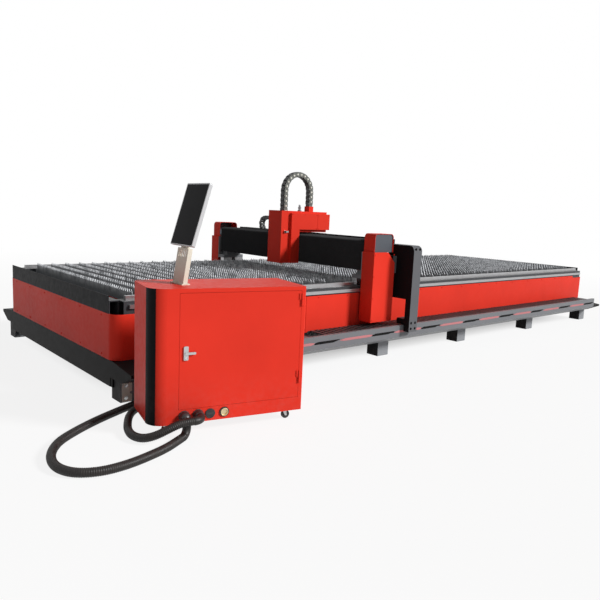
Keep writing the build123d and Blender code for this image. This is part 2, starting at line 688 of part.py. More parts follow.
def long_pinion(side):
    """Drive pinion on its shaft, shown at its pitch circle."""
    y = side * PINION_Y
    middle = RACK_TOP - RACK_HEIGHT / 2
    wheel_z = about(middle, PINION_HEIGHT)
    piece = upright(PINION_RADIUS, GANTRY_X, y, wheel_z)
    return piece + upright(DRIVE_SHAFT_RADIUS, GANTRY_X, y, (middle, SADDLE_TOP - RUNNING_GAP))


def leg_cover(side):
    """Painted shell round one drive, open below and towards the bed."""
    outline = [
        (LEG_FRONT_X, LEG_BOTTOM), (LEG_BACK_X, LEG_BOTTOM), (LEG_BACK_X, LEG_SHOULDER - LEG_CHAMFER),
        (LEG_BACK_X - LEG_CHAMFER, LEG_SHOULDER), (LEG_FRONT_X, LEG_SHOULDER),
    ]
    face = make_face(Polyline(*outline, close=True))
    room = offset(face, amount=-COVER_SHEET, kind=Kind.INTERSECTION)
    y = on_side(side, LEG_INNER_Y, LEG_OUTER_Y)
    shell = extrude(Plane.XZ.offset(-y[1]) * face, amount=y[1] - y[0])
    inside = on_side(side, LEG_INNER_Y - OVERRUN, LEG_OUTER_Y - COVER_SHEET)
    hollow = extrude(Plane.XZ.offset(-inside[1]) * room, amount=inside[1] - inside[0])
    way_out = block((LEG_FRONT_X + COVER_SHEET, LEG_BACK_X - COVER_SHEET), inside,
                    (LEG_BOTTOM - OVERRUN, LEG_BOTTOM + LEG_CHAMFER))
    return shell - hollow - way_out


def cap_outline(inset):
    """Upright outline of a cap with its two top corners rounded."""
    half = CAP_LENGTH / 2 - inset
    top = CAP_TOP - inset
    outline = [(-half, LEG_SHOULDER), (half, LEG_SHOULDER), (half, top), (-half, top)]
    face = make_face(Polyline(*outline, close=True))
    corners = face.vertices().sort_by(Axis.Y)[-2:]
    return Pos(GANTRY_X, 0, 0) * fillet(corners, CAP_RADIUS - inset)


def leg_cap(side):
    """Painted band bent over the top of one leg."""
    y = on_side(side, LEG_INNER_Y, CAP_OUTER_Y)
    band = Plane.XZ.offset(-y[1]) * (cap_outline(0) - cap_outline(COVER_SHEET))
    return extrude(band, amount=y[1] - y[0])


def cap_plate(side):
    """Grey plate set into the outer end of one cap."""
    outer = CAP_OUTER_Y - CAP_PLATE_INSET
    y = on_side(side, outer - COVER_SHEET, outer)
    return extrude(Plane.XZ.offset(-y[1]) * cap_outline(COVER_SHEET + FIT_GAP), amount=y[1] - y[0])


def beam():
    """Square tube across the bed."""
    x = (BEAM_FRONT_X, BEAM_BACK_X)
    return square_tube(x, (-BEAM_HALF, BEAM_HALF), (BEAM_BOTTOM, BEAM_TOP), BEAM_WALL, "y")


def cross_rails():
    """Two guide rails on top of the beam."""
    z = (BEAM_TOP, BEAM_TOP + CROSS_RAIL_HEIGHT)
    y = (-BEAM_HALF, BEAM_HALF)
    return group([block(about(x, CROSS_RAIL_WIDTH), y, z) for x in about(BEAM_X, CROSS_RAIL_SPREAD)])


def cross_rack():
    """Rack between the two cross rails."""
    z = (BEAM_TOP, BEAM_TOP + CROSS_RAIL_HEIGHT)
    return block(about(BEAM_X, CROSS_RACK_WIDTH), (-BEAM_HALF, BEAM_HALF), z)


def bellows_section(inset, y):
    """One fold line of the bellows: a chamfered arch over the beam."""
    front = BELLOWS_FRONT_X + inset
    back = BELLOWS_BACK_X - inset
    top = BELLOWS_TOP - inset
    corner = BELLOWS_CORNER
    arch = [
        (front, BELLOWS_BOTTOM), (front, top - corner), (front + corner, top),
        (back - corner, top), (back, top - corner), (back, BELLOWS_BOTTOM),
    ]
    wall = BELLOWS_WALL
    front, back, top = front + wall, back - wall, top - wall
    arch += [
        (back, BELLOWS_BOTTOM), (back, top - corner), (back - corner, top),
        (front + corner, top), (front, top - corner), (front, BELLOWS_BOTTOM),
    ]
    return make_face(Polyline(*[(x, y, z) for x, z in arch], close=True))


def bellows(low, high):
    """Pleated cover over the beam between two y positions."""
    folds = 2 * max(2, round((high - low) / PLEAT_PITCH))
    sections = []
    for number in range(folds + 1):
        inset = PLEAT_DEPTH if number % 2 else 0
        sections.append(bellows_section(inset, low + (high - low) * number / folds))
    return loft(sections, ruled=True)


def chain_shelf():
    """Angle tray for the cross drag chain, resting on the riser and on a strap behind the far leg."""
    x = (SHELF_X, SHELF_X + CHAIN_SHELF_DEPTH)
    y = (-RISER_INNER_Y - CHAIN_SHELF_SEAT, LEG_INNER_Y + CHAIN_SHELF_SEAT)
    shelf = block(x, y, (CHAIN_SHELF_BOTTOM, SHELF_TOP))
    shelf += block((x[1] - CHAIN_SHELF_SHEET, x[1]), y, (CHAIN_SHELF_BOTTOM, SHELF_TOP + CHAIN_SHELF_LIP))
    strap_z = (CHAIN_SHELF_BOTTOM - SHELF_BRACKET_HEIGHT, CHAIN_SHELF_BOTTOM)
    return shelf + block((LEG_BACK_X, LEG_BACK_X + SHELF_BRACKET), (LEG_INNER_Y, y[1]), strap_z)


def riser():
    """Arched duct behind the near leg, reaching down outside the tray with a shelf over its chain."""
    post_y = TRAY_OUTER_Y + RISER_WALL_GAP
    shelf_low = TRAY_TOP + RISER_WALL_GAP
    shelf_top = shelf_low + RISER_SHELF_HEIGHT
    outline = [
        (RISER_INNER_Y, RISER_TOP), (RISER_OUTER_Y, RISER_TOP), (RISER_OUTER_Y, RISER_BOTTOM),
        (post_y, RISER_BOTTOM), (post_y, shelf_low), (RISER_SHELF_Y, shelf_low),
        (RISER_SHELF_Y, shelf_top), (post_y, shelf_top), (post_y, RISER_ARCH), (RISER_INNER_Y, RISER_ARCH),
    ]
    face = make_face(Polyline(*[(-y, z) for y, z in outline], close=True))
    corner = face.vertices().sort_by_distance((-RISER_OUTER_Y, RISER_TOP))[0]
    piece = extrude(Plane.YZ.offset(RISER_FRONT_X) * fillet(corner, RISER_RADIUS), amount=RISER_THICKNESS)
    arm_y = (-RISER_INNER_Y - RISER_ARM_WIDTH, -RISER_INNER_Y)
    arm_z = (RISER_ARM_BOTTOM, RISER_ARM_BOTTOM + RISER_ARM_HEIGHT)
    return piece + block((LEG_BACK_X, RISER_FRONT_X), arm_y, arm_z)


# Drag chains

def link(start, end, plane, thickness, width):
    """One chain link between two pivots in a plane, hexagonal in side view."""
    step = end - start
    half = thickness / 2
    taper = half * LINK_TAPER_SHARE
    outline = [
        (FIT_GAP / 2, 0), (taper, -half), (step.length - taper, -half),
        (step.length - FIT_GAP / 2, 0), (step.length - taper, half), (taper, half),
    ]
    face = Rot(0, 0, math.degrees(math.atan2(step.Y, step.X))) * make_face(Polyline(*outline, close=True))
    return extrude(plane * Pos(start.X, start.Y) * face, amount=width / 2, both=True)


def chain(plane, place, length, pitch, thickness, width):
    """Equal links along a path, whose places are given by the distance run along it."""
    count = round(length / pitch)
    pivots = [Vector(*place(length * number / count)) for number in range(count + 1)]
    return group([link(start, end, plane, thickness, width) for start, end in zip(pivots, pivots[1:])])


def long_chain():
    """Lower run of the long chain, lying flat in the near tray."""
    middle_y = -(LONG_CHAIN_INNER_Y + LONG_CHAIN_WIDTH / 2)
    plane = Plane((LONG_CHAIN_START_X, middle_y, LONG_CHAIN_Z), x_dir=(1, 0, 0), z_dir=(0, -1, 0))
    length = LONG_CHAIN_END_X - LONG_CHAIN_START_X
    return chain(plane, lambda run: (run, 0), length,
                 LONG_CHAIN_PITCH, LONG_CHAIN_THICKNESS, LONG_CHAIN_WIDTH)


def cross_chain_plane():
    """Plane of the cross chain, with its own x along the beam and its y upwards."""
    return Plane((CROSS_CHAIN_X, 0, CROSS_CHAIN_LOW_Z), x_dir=(0, 1, 0), z_dir=(1, 0, 0))


def cross_chain_run():
    """Lower run of the cross chain, lying on its shelf."""
    length = CROSS_CHAIN_END_Y - CROSS_CHAIN_FIXED_Y
    return chain(cross_chain_plane(), lambda run: (CROSS_CHAIN_FIXED_Y + run, 0), length,
                 CROSS_CHAIN_PITCH, CROSS_CHAIN_THICKNESS, CROSS_CHAIN_WIDTH)


def cross_chain_loop():
    """Bend of the cross chain, from just above the lower run up to the upper one."""
    first = math.radians(CROSS_LOOP_ANGLE)

    def place(run):
        turn = first + run / CROSS_CHAIN_RADIUS
        return (CROSS_CHAIN_LOOP_Y + CROSS_CHAIN_RADIUS * math.sin(turn),
                CROSS_CHAIN_RADIUS * (1 - math.cos(turn)))

    length = (math.pi - first) * CROSS_CHAIN_RADIUS
    return chain(cross_chain_plane(), place, length,
                 CROSS_CHAIN_PITCH, CROSS_CHAIN_THICKNESS, CROSS_CHAIN_WIDTH)


def cross_chain_lead():
    """Upper run of the cross chain, from its bend to the housing."""
    length = CROSS_CHAIN_LOOP_Y - HOUSING_FAR_Y
    return chain(cross_chain_plane(), lambda run: (CROSS_CHAIN_LOOP_Y - run, 2 * CROSS_CHAIN_RADIUS), length,
                 CROSS_CHAIN_PITCH, CROSS_CHAIN_THICKNESS, CROSS_CHAIN_WIDTH)


def head_chain():
    """Chain looped over the housing, from the cutting head to the sleeve behind it."""
    radius = HEAD_CHAIN_RADIUS
    plane = Plane((HEAD_X + radius, CARRIAGE_Y, HEAD_CHAIN_CENTRE_Z), x_dir=(1, 0, 0), z_dir=(0, -1, 0))
    head_leg = HEAD_CHAIN_CENTRE_Z - HEAD_TOP
    over_top = math.pi * radius
    sleeve_leg = HEAD_CHAIN_CENTRE_Z - HOUSING_TOP - SLEEVE_HEIGHT

    def place(run):
        if run < head_leg:
            return (-radius, run - head_leg)
        if run < head_leg + over_top:
            turn = (run - head_leg) / radius
            return (-radius * math.cos(turn), radius * math.sin(turn))
        return (radius, head_leg + over_top - run)

    return chain(plane, place, head_leg + over_top + sleeve_leg,
                 HEAD_CHAIN_PITCH, HEAD_CHAIN_THICKNESS, HEAD_CHAIN_WIDTH)


def chain_sleeve():
    """Painted foot on the housing that holds the head chain's fixed end."""
    x = about(HEAD_X + 2 * HEAD_CHAIN_RADIUS, HEAD_CHAIN_THICKNESS + SLEEVE_WALL)
    y = about(CARRIAGE_Y, HEAD_CHAIN_WIDTH + SLEEVE_WALL)
    return block(x, y, (HOUSING_TOP, HOUSING_TOP + SLEEVE_HEIGHT))


# Carriage

def housing():
    """Painted shell of the carriage: a tall front box, and a rear box over the beam."""
    outline = [
        (HOUSING_FRONT_X, HOUSING_BOTTOM), (HOUSING_NECK_X, HOUSING_BOTTOM),
        (HOUSING_NECK_X, HOUSING_REAR_BOTTOM), (HOUSING_BACK_X, HOUSING_REAR_BOTTOM),
        (HOUSING_BACK_X, HOUSING_TOP), (HOUSING_FRONT_X, HOUSING_TOP),
    ]
    face = make_face(Polyline(*outline, close=True))
    room = offset(face, amount=-COVER_SHEET, kind=Kind.INTERSECTION)
    shell = extrude(Plane.XZ.offset(-HOUSING_FAR_Y) * face, amount=HOUSING_WIDTH)
    inside_y = (HOUSING_NEAR_Y + COVER_SHEET, HOUSING_FAR_Y - COVER_SHEET)
    shell -= extrude(Plane.XZ.offset(-inside_y[1]) * room, amount=inside_y[1] - inside_y[0])
    shell -= block((HOUSING_FRONT_X + COVER_SHEET, HOUSING_NECK_X - COVER_SHEET), inside_y,
                   (HOUSING_BOTTOM - OVERRUN, HOUSING_BOTTOM + COVER_SHEET + OVERRUN))
    lift_y = about(CARRIAGE_Y, LIFT_WIDTH + 2 * FIT_GAP)
    shell -= block(about(HOUSING_NECK_X, 2 * COVER_SHEET + OVERRUN), lift_y,
                   (HOUSING_BOTTOM - OVERRUN, HOUSING_REAR_BOTTOM + COVER_SHEET + OVERRUN))
    motor_room = CROSS_MOTOR_SIZE + 2 * HOUSING_DOORWAY_GAP
    shell -= block(about(CROSS_MOTOR_X, motor_room), about(CARRIAGE_Y, motor_room),
                   about(HOUSING_REAR_BOTTOM, 2 * COVER_SHEET + OVERRUN))
    slot_x = about(HEAD_X, HEAD_CHAIN_THICKNESS + 2 * CHAIN_SLOT_GAP)
    slot_y = about(CARRIAGE_Y, HEAD_CHAIN_WIDTH + 2 * CHAIN_SLOT_GAP)
    return shell - block(slot_x, slot_y, about(HOUSING_TOP, 2 * COVER_SHEET + OVERRUN))


def pan(outline):
    """Raised painted pan on the housing's near side, hollow behind its folded edges."""
    face = make_face(Polyline(*outline, close=True))
    room = offset(face, amount=-COVER_SHEET, kind=Kind.INTERSECTION)
    plane = Plane.XZ.offset(-HOUSING_NEAR_Y)
    hollow = extrude(plane * room, amount=SIDE_COVER_RISE - COVER_SHEET)
    return extrude(plane * face, amount=SIDE_COVER_RISE) - hollow


def front_cover():
    """Pan down the whole front box, reaching back along the rear box as far as the seam."""
    seam = SIDE_COVER_SEAM_X - SEAM_GAP / 2
    return pan([
        (SIDE_COVER_START_X, HOUSING_BOTTOM), (HOUSING_NECK_X, HOUSING_BOTTOM),
        (HOUSING_NECK_X, SIDE_COVER_BOTTOM), (seam, SIDE_COVER_BOTTOM),
        (seam, SIDE_COVER_TOP), (SIDE_COVER_START_X, SIDE_COVER_TOP),
    ])


def rear_cover():
    """Pan behind the seam, reaching past the back of the housing."""
    seam = SIDE_COVER_SEAM_X + SEAM_GAP / 2
    return pan([
        (seam, SIDE_COVER_BOTTOM), (SIDE_COVER_BACK_X, SIDE_COVER_BOTTOM),
        (SIDE_COVER_BACK_X, SIDE_COVER_TOP), (seam, SIDE_COVER_TOP),
    ])


def housing_latch_base():
    """Square seat of the quarter-turn latch."""
    y = (HOUSING_NEAR_Y - LATCH_DEPTH, HOUSING_NEAR_Y)
    return block(about(LATCH_X, LATCH_PLATE), y, about(LATCH_Z, LATCH_PLATE))


def housing_latch():
    """Latch handle, tapering towards its free end."""
    half = LATCH_PLATE / 2
    tip = half / 2
    outline = [(-half, -half), (LATCH_LENGTH - half, -tip), (LATCH_LENGTH - half, tip), (-half, half)]
    seat = (LATCH_X, HOUSING_NEAR_Y - LATCH_DEPTH - FIT_GAP, LATCH_Z)
    plane = Plane(seat, x_dir=(1, 0, 0), z_dir=(0, -1, 0))
    return drawn(outline, plane, LATCH_DEPTH)


def carriage_plate():
    """Bracket on the cross guide blocks: a top plate, and a front plate for the lifting unit."""
    y = about(CARRIAGE_Y, CARRIAGE_PLATE_WIDTH)
    plate = block((HOUSING_NECK_X, BEAM_BACK_X), y, (CARRIAGE_BLOCK_TOP, CARRIAGE_TOP))
    front = (HOUSING_NECK_X, HOUSING_NECK_X + CARRIAGE_FRONT_PLATE)
    return plate + block(front, y, (BEAM_BOTTOM, CARRIAGE_TOP))


def cross_blocks():
    """Four guide blocks on the cross rails."""
    z = (CARRIAGE_BLOCK_TOP - CROSS_BLOCK_HEIGHT + CROSS_BLOCK_LIFT, CARRIAGE_BLOCK_TOP)
    pieces = []
    for x in about(BEAM_X, CROSS_RAIL_SPREAD):
        for y in about(CARRIAGE_Y, CROSS_BLOCK_SPREAD):
            piece = block(about(x, CROSS_BLOCK_WIDTH), about(y, CROSS_BLOCK_LENGTH), z)
            groove_x = about(x, CROSS_RAIL_WIDTH + 2 * RUNNING_GAP)
            groove_z = (z[0] - OVERRUN, BEAM_TOP + CROSS_RAIL_HEIGHT + RUNNING_GAP)
            piece -= block(groove_x, about(y, CROSS_BLOCK_LENGTH + OVERRUN), groove_z)
            pieces.append(piece)
    return group(pieces)


def cross_drive():
    """Servo motor standing on the carriage's top plate."""
    z = (CARRIAGE_TOP, CARRIAGE_TOP + CROSS_MOTOR_HEIGHT)
    return block(about(CROSS_MOTOR_X, CROSS_MOTOR_SIZE), about(CARRIAGE_Y, CROSS_MOTOR_SIZE), z)


def lifting_unit():
    """Closed linear unit that raises and lowers the head."""
    y = about(CARRIAGE_Y, LIFT_WIDTH)
    return block((LIFT_FRONT_X, HOUSING_NECK_X), y, (LIFT_BOTTOM, LIFT_BOTTOM + LIFT_HEIGHT))


# Cutting head

def head_slide():
    """Plate on the lifting unit that carries the head."""
    x = (HEAD_X + HEAD_BLOCK / 2, LIFT_FRONT_X - RUNNING_GAP)
    z = (HEAD_BLOCK_BOTTOM, HEAD_BLOCK_BOTTOM + SLIDE_HEIGHT)
    return block(x, about(CARRIAGE_Y, SLIDE_WIDTH), z)


def cutting_head():
    """Head block with the collimator above it and the lens barrel and cone below."""
    block_top = HEAD_BLOCK_BOTTOM + HEAD_BLOCK_HEIGHT
    socket_z = HEAD_TOP - FIBRE_SOCKET_HEIGHT
    head = block(about(HEAD_X, HEAD_BLOCK), about(CARRIAGE_Y, HEAD_BLOCK), (HEAD_BLOCK_BOTTOM, block_top))
    head += upright(COLLIMATOR_RADIUS, HEAD_X, CARRIAGE_Y, (block_top, socket_z))
    head += upright(FIBRE_SOCKET_RADIUS, HEAD_X, CARRIAGE_Y, (socket_z, HEAD_TOP))
    head += upright(LENS_BARREL_RADIUS, HEAD_X, CARRIAGE_Y, (LENS_BOTTOM, HEAD_BLOCK_BOTTOM))
    cone = Cone(NOZZLE_CONE_RADIUS, LENS_BARREL_RADIUS, NOZZLE_CONE_HEIGHT)
    return head + Pos(HEAD_X, CARRIAGE_Y, LENS_BOTTOM - NOZZLE_CONE_HEIGHT / 2) * cone


def nozzle():
    """Copper nozzle with its gas bore."""
    cone = Cone(NOZZLE_TIP_RADIUS, NOZZLE_CONE_RADIUS, NOZZLE_HEIGHT)
    cone -= Cylinder(NOZZLE_BORE_RADIUS, NOZZLE_HEIGHT + OVERRUN)
    return Pos(HEAD_X, CARRIAGE_Y, NOZZLE_TOP - NOZZLE_HEIGHT / 2) * cone


# Control cabinet, in its own frame: u along its front, v into its depth

def cabinet_plan(inset):
    """Plan outline of the cabinet, most rounded at the operator's front corner."""
    low, wide, deep = inset, CABINET_WIDTH - inset, CABINET_DEPTH - inset
    face = make_face(Polyline((low, low), (wide, low), (wide, deep), (low, deep), close=True))
    face = fillet(face.vertices().sort_by_distance((low, low))[0], CABINET_LEFT_RADIUS - inset)
    face = fillet(face.vertices().sort_by_distance((low, deep))[0], CABINET_REAR_RADIUS - inset)
    return fillet(face.vertices().sort_by(Axis.X)[-2:], CABINET_RIGHT_RADIUS - inset)


def door_hinges(hand, lift):
    """Halves of the lift-off hinges: hand 1 is on the shell, hand -1 stands on it and is on the door."""
    leaf_u = sorted((DOOR_RIGHT + hand * DOOR_GAP, DOOR_RIGHT + hand * DOOR_HINGE_LEAF))
    axis_v = -DOOR_HINGE_RADIUS - DOOR_GAP / 2
    pieces = []
    for share in DOOR_HINGE_SHARES:
        low = DOOR_BOTTOM + share * (DOOR_TOP - DOOR_BOTTOM) + lift * DOOR_HINGE_HEIGHT
        z = (low, low + DOOR_HINGE_HEIGHT)
        leaf = block(leaf_u, (-DOOR_HINGE_RADIUS, 0), z)
        pieces.append(leaf + upright(DOOR_HINGE_RADIUS, DOOR_RIGHT, axis_v, z))
    return pieces


def cabinet_shell():
    """Folded sheet body with a door opening in front and round holes for the hoses."""
    shell = Pos(0, 0, CABINET_BOTTOM) * extrude(cabinet_plan(0), amount=CABINET_TOP - CABINET_BOTTOM)
    room_height = CABINET_TOP - CABINET_BOTTOM - 2 * CABINET_WALL
    room = extrude(cabinet_plan(CABINET_WALL), amount=room_height)
    shell -= Pos(0, 0, CABINET_BOTTOM + CABINET_WALL) * room
    shell -= block((DOOR_LEFT, DOOR_RIGHT), (-OVERRUN, CABINET_WALL + OVERRUN), (DOOR_BOTTOM, DOOR_TOP))
    for u in PORT_PLACES:
        hole = Cylinder(PORT_HOLE_RADIUS, 2 * CABINET_WALL + 2 * OVERRUN)
        shell -= Pos(u, 0, PORT_Z) * Rot(90, 0, 0) * hole
    return CABINET_PLACE * (shell + door_hinges(1, 0))


def cabinet_band():
    """Dark strip bent round the front corner of the operator's end."""
    centre = (CABINET_LEFT_RADIUS, CABINET_LEFT_RADIUS)
    inner = CenterArc(centre, CABINET_LEFT_RADIUS, BAND_START_ANGLE, BAND_SPAN_ANGLE)
    outer = CenterArc(centre, CABINET_LEFT_RADIUS + BAND_THICKNESS, BAND_START_ANGLE, BAND_SPAN_ANGLE)
    face = make_face([inner, Line(inner @ 1, outer @ 1), outer, Line(outer @ 0, inner @ 0)])
    height = CABINET_TOP - CABINET_BOTTOM
    return CABINET_PLACE * (Pos(0, 0, CABINET_BOTTOM) * extrude(face, amount=height, dir=(0, 0, 1)))


def cabinet_door():
    """Flanged door pan, flush with the front."""
    u = (DOOR_LEFT + DOOR_GAP, DOOR_RIGHT - DOOR_GAP)
    z = (DOOR_BOTTOM + DOOR_GAP, DOOR_TOP - DOOR_GAP)
    door = block(u, (0, DOOR_DEPTH), z)
    door -= block((u[0] + DOOR_SHEET, u[1] - DOOR_SHEET), (DOOR_SHEET, DOOR_DEPTH + OVERRUN),
                  (z[0] + DOOR_SHEET, z[1] - DOOR_SHEET))
    return CABINET_PLACE * (door + door_hinges(-1, 1))


def door_lock():
    """Lock plate at the door's free edge."""
    u = about(DOOR_LEFT + LOCK_INSET, LOCK_WIDTH)
    plate = block(u, (-LOCK_DEPTH, 0), about(LOCK_Z, LOCK_HEIGHT))
    edges = plate.edges().filter_by(Axis.Y)
    return CABINET_PLACE * fillet(edges, LOCK_WIDTH / 4)


def door_lever():
    """Swing lever on the lock plate, pointing away from the door's edge."""
    u = DOOR_LEFT + LOCK_INSET
    v = (-LOCK_DEPTH - FIT_GAP - LEVER_DEPTH, -LOCK_DEPTH - FIT_GAP)
    lever = block((u - LEVER_WIDTH / 2, u + LEVER_LENGTH), v, about(LOCK_Z, LEVER_WIDTH))
    edges = lever.edges().filter_by(Axis.Y)
    return CABINET_PLACE * fillet(edges, LEVER_WIDTH / 3)


def laser_source():
    """Closed laser source on the cabinet's floor."""
    floor = CABINET_BOTTOM + CABINET_WALL
    v = about(CABINET_DEPTH / 2, SOURCE_DEPTH)
    return CABINET_PLACE * block((SOURCE_LEFT, SOURCE_LEFT + SOURCE_WIDTH), v, (floor, floor + SOURCE_HEIGHT))


def drive_panel():
    """Mounting plate on the back wall."""
    back = CABINET_DEPTH - CABINET_WALL
    u = (BACKPLATE_MARGIN, CABINET_WIDTH - BACKPLATE_MARGIN)
    z = (BACKPLATE_BOTTOM, CABINET_TOP - CABINET_WALL - BACKPLATE_MARGIN / 2)
    return CABINET_PLACE * block(u, (back - BACKPLATE_THICKNESS, back), z)


def servo_drives():
    """Row of servo drives on the mounting plate."""
    face = CABINET_DEPTH - CABINET_WALL - BACKPLATE_THICKNESS
    pieces = []
    for number in range(DRIVE_COUNT):
        u = CABINET_WIDTH / 2 + (number - (DRIVE_COUNT - 1) / 2) * DRIVE_PITCH
        z = (DRIVE_BOTTOM, DRIVE_BOTTOM + DRIVE_HEIGHT)
        pieces.append(CABINET_PLACE * block(about(u, DRIVE_WIDTH), (face - DRIVE_DEPTH, face), z))
    return group(pieces)


# Casters

def caster_places():
    """Caster centres in the cabinet's frame: front left, front right, back left, back right."""
    right = CABINET_WIDTH - CASTER_INSET_X
    back = CABINET_DEPTH - CASTER_INSET_Y
    return [(u, v) for v in (CASTER_INSET_Y, back) for u in (CASTER_INSET_X, right)]


def caster_plates():
    """Top plates of the four casters."""
    z = (CABINET_BOTTOM - CASTER_PLATE_THICKNESS, CABINET_BOTTOM)
    plates = [block(about(u, CASTER_PLATE), about(v, CASTER_PLATE), z) for u, v in caster_places()]
    return group([CABINET_PLACE * plate for plate in plates])


def caster_fork(u, v):
    """Swivelling fork with two cheeks and the wheel's axle."""
    top = CABINET_BOTTOM - CASTER_PLATE_THICKNESS - FIT_GAP
    crown_low = top - CASTER_FORK_TOP
    fork = upright(CASTER_HEAD_RADIUS, u, v, (crown_low, top))
    gap = CASTER_WHEEL_WIDTH / 2 + CASTER_FORK_GAP
    axle_u = u + CASTER_TRAIL
    for side in (-1, 1):
        cheek_v = tuple(sorted((v + side * gap, v + side * (gap + CASTER_FORK_SHEET))))
        outline = [
            (u - CASTER_HEAD_RADIUS / 2, top - CASTER_FORK_TOP / 2),
            (u + CASTER_HEAD_RADIUS, top - CASTER_FORK_TOP / 2),
            (axle_u + CASTER_CHEEK_RADIUS / 2, CASTER_WHEEL_RADIUS - CASTER_CHEEK_RADIUS / 2),
            (axle_u - CASTER_CHEEK_RADIUS / 2, CASTER_WHEEL_RADIUS - CASTER_CHEEK_RADIUS / 2),
        ]
        fork += drawn(outline, Plane.XZ.offset(-cheek_v[1]), CASTER_FORK_SHEET)
    span = 2 * (gap + CASTER_FORK_SHEET)
    fork += block(about(u, CASTER_HEAD_RADIUS), about(v, span), (crown_low, top))
    fork += Pos(axle_u, v, CASTER_WHEEL_RADIUS) * Rot(90, 0, 0) * Cylinder(CASTER_AXLE_RADIUS, span)
    return CABINET_PLACE * (fork + brake_pedal(u, v, top))


def brake_pedal(u, v, top):
    """Foot pedal of the wheel brake, reaching out over the wheel and bent down at its end."""
    bend = u + CASTER_TRAIL + CASTER_WHEEL_RADIUS
    tip = u + PEDAL_REACH
    outline = [
        (u, top - CASTER_FORK_TOP), (bend, top - CASTER_FORK_TOP), (tip, top - CASTER_FORK_TOP - PEDAL_DROP),
        (tip + PEDAL_SHEET, top - PEDAL_DROP), (bend + PEDAL_SHEET, top), (u, top),
    ]
    return drawn(outline, Plane.XZ.offset(-v - PEDAL_WIDTH / 2), PEDAL_WIDTH)


def caster_wheel(u, v):
    """Turned wheel with a crowned edge, running on the axle."""
    bevel = CASTER_FORK_SHEET / 2
    wheel = Cylinder(CASTER_WHEEL_RADIUS, CASTER_WHEEL_WIDTH)
    wheel = chamfer(wheel.edges(), bevel)
    wheel -= Cylinder(CASTER_AXLE_RADIUS + CASTER_BORE_GAP, CASTER_WHEEL_WIDTH + OVERRUN)
    return CABINET_PLACE * (Pos(u + CASTER_TRAIL, v, CASTER_WHEEL_RADIUS) * Rot(90, 0, 0) * wheel)


# Hose ports and hoses

def port_ring(u):
    """Round collar of one hose port."""
    collar = Cylinder(PORT_RADIUS, PORT_LIP) - Cylinder(PORT_RADIUS - PORT_LIP, PORT_LIP + OVERRUN)
    return Pos(u, -PORT_LIP / 2, PORT_Z) * Rot(90, 0, 0) * collar


def port_collars():
    """Collars of the four ports."""
    return group([CABINET_PLACE * port_ring(u) for u in PORT_PLACES])


def port_plug():
    """Blind plug in the third port."""
    plug = Cylinder(PORT_RADIUS - PORT_LIP - FIT_GAP / 2, PORT_LIP)
    return CABINET_PLACE * (Pos(PORT_PLACES[2], -PORT_LIP / 2, PORT_Z) * Rot(90, 0, 0) * plug)


def water_socket():
    """Threaded brass socket in the fourth port."""
    body = Cylinder(PORT_RADIUS - PORT_LIP - FIT_GAP / 2, PORT_LIP)
    body -= Cylinder(SOCKET_RADIUS, PORT_LIP + OVERRUN)
    return CABINET_PLACE * (Pos(PORT_PLACES[3], -PORT_LIP / 2, PORT_Z) * Rot(90, 0, 0) * body)


def bent_tube(path, start, direction):
    """Round solid along a path."""
    plane = Plane(start, z_dir=direction)
    return sweep(plane * Circle(HOSE_RADIUS - FIT_GAP / 2), path=path)


def loop_elbow_turn():
    """Direction in which the first hose leaves its fitting, in the cabinet's frame."""
    return Vector(-1, -1, 0).normalized()


def loop_elbow_end():
    """Place where the first hose leaves its fitting, in the cabinet's frame."""
    radius = (PORT_Z - FLOOR_HOSE_Z) / 2
    down = Vector(PORT_PLACES[0], -ELBOW_SMALL_STRAIGHT - radius, FLOOR_HOSE_Z)
    return down + loop_elbow_turn() * radius


def loop_elbow():
    """Fitting that brings the first hose down to the floor in two quarter bends."""
    u = PORT_PLACES[0]
    radius = (PORT_Z - FLOOR_HOSE_Z) / 2
    mouth = -ELBOW_SMALL_STRAIGHT
    start, knee = Vector(u, 0, PORT_Z), Vector(u, mouth - radius, PORT_Z - radius)
    path = Line(start, (u, mouth, PORT_Z))
    path += TangentArc((u, mouth, PORT_Z), knee, tangent=(0, -1, 0))
    path += TangentArc(knee, loop_elbow_end(), tangent=(0, 0, -1))
    return CABINET_PLACE * bent_tube(path, start, (0, -1, 0))


def corner_elbow_end():
    """Place where the second hose leaves its fitting, in the cabinet's frame."""
    return Vector(PORT_PLACES[1] - ELBOW_WIDE_RADIUS, -ELBOW_WIDE_STRAIGHT - ELBOW_WIDE_RADIUS, PORT_Z)


def corner_elbow():
    """Fitting that turns the second hose along the cabinet's front."""
    u = PORT_PLACES[1]
    start, mouth = Vector(u, 0, PORT_Z), Vector(u, -ELBOW_WIDE_STRAIGHT, PORT_Z)
    path = Line(start, mouth) + TangentArc(mouth, corner_elbow_end(), tangent=(0, -1, 0))
    return CABINET_PLACE * bent_tube(path, start, (0, -1, 0))


def from_cabinet(place):
    """A place in the cabinet's frame, in the machine's frame."""
    return (CABINET_PLACE * Pos(place.X, place.Y, place.Z)).position


def loop_hose():
    """Hose from the first port, looped out over the floor and back under the bed."""
    start = from_cabinet(loop_elbow_end())
    second = from_cabinet(loop_elbow_end() + loop_elbow_turn() * FIRST_RUN)
    return hose([start, second] + [BED_CORNER + Vector(x, y, FLOOR_HOSE_Z) for x, y in LOOP_HOSE_ROUTE])


def corner_hose():
    """Hose from the second port, round the cabinet's corner and under the bed."""
    start = from_cabinet(corner_elbow_end())
    second = from_cabinet(corner_elbow_end() + Vector(-FIRST_RUN, 0, 0))
    return hose([start, second] + [BED_CORNER + Vector(*place) for place in CORNER_HOSE_ROUTE])


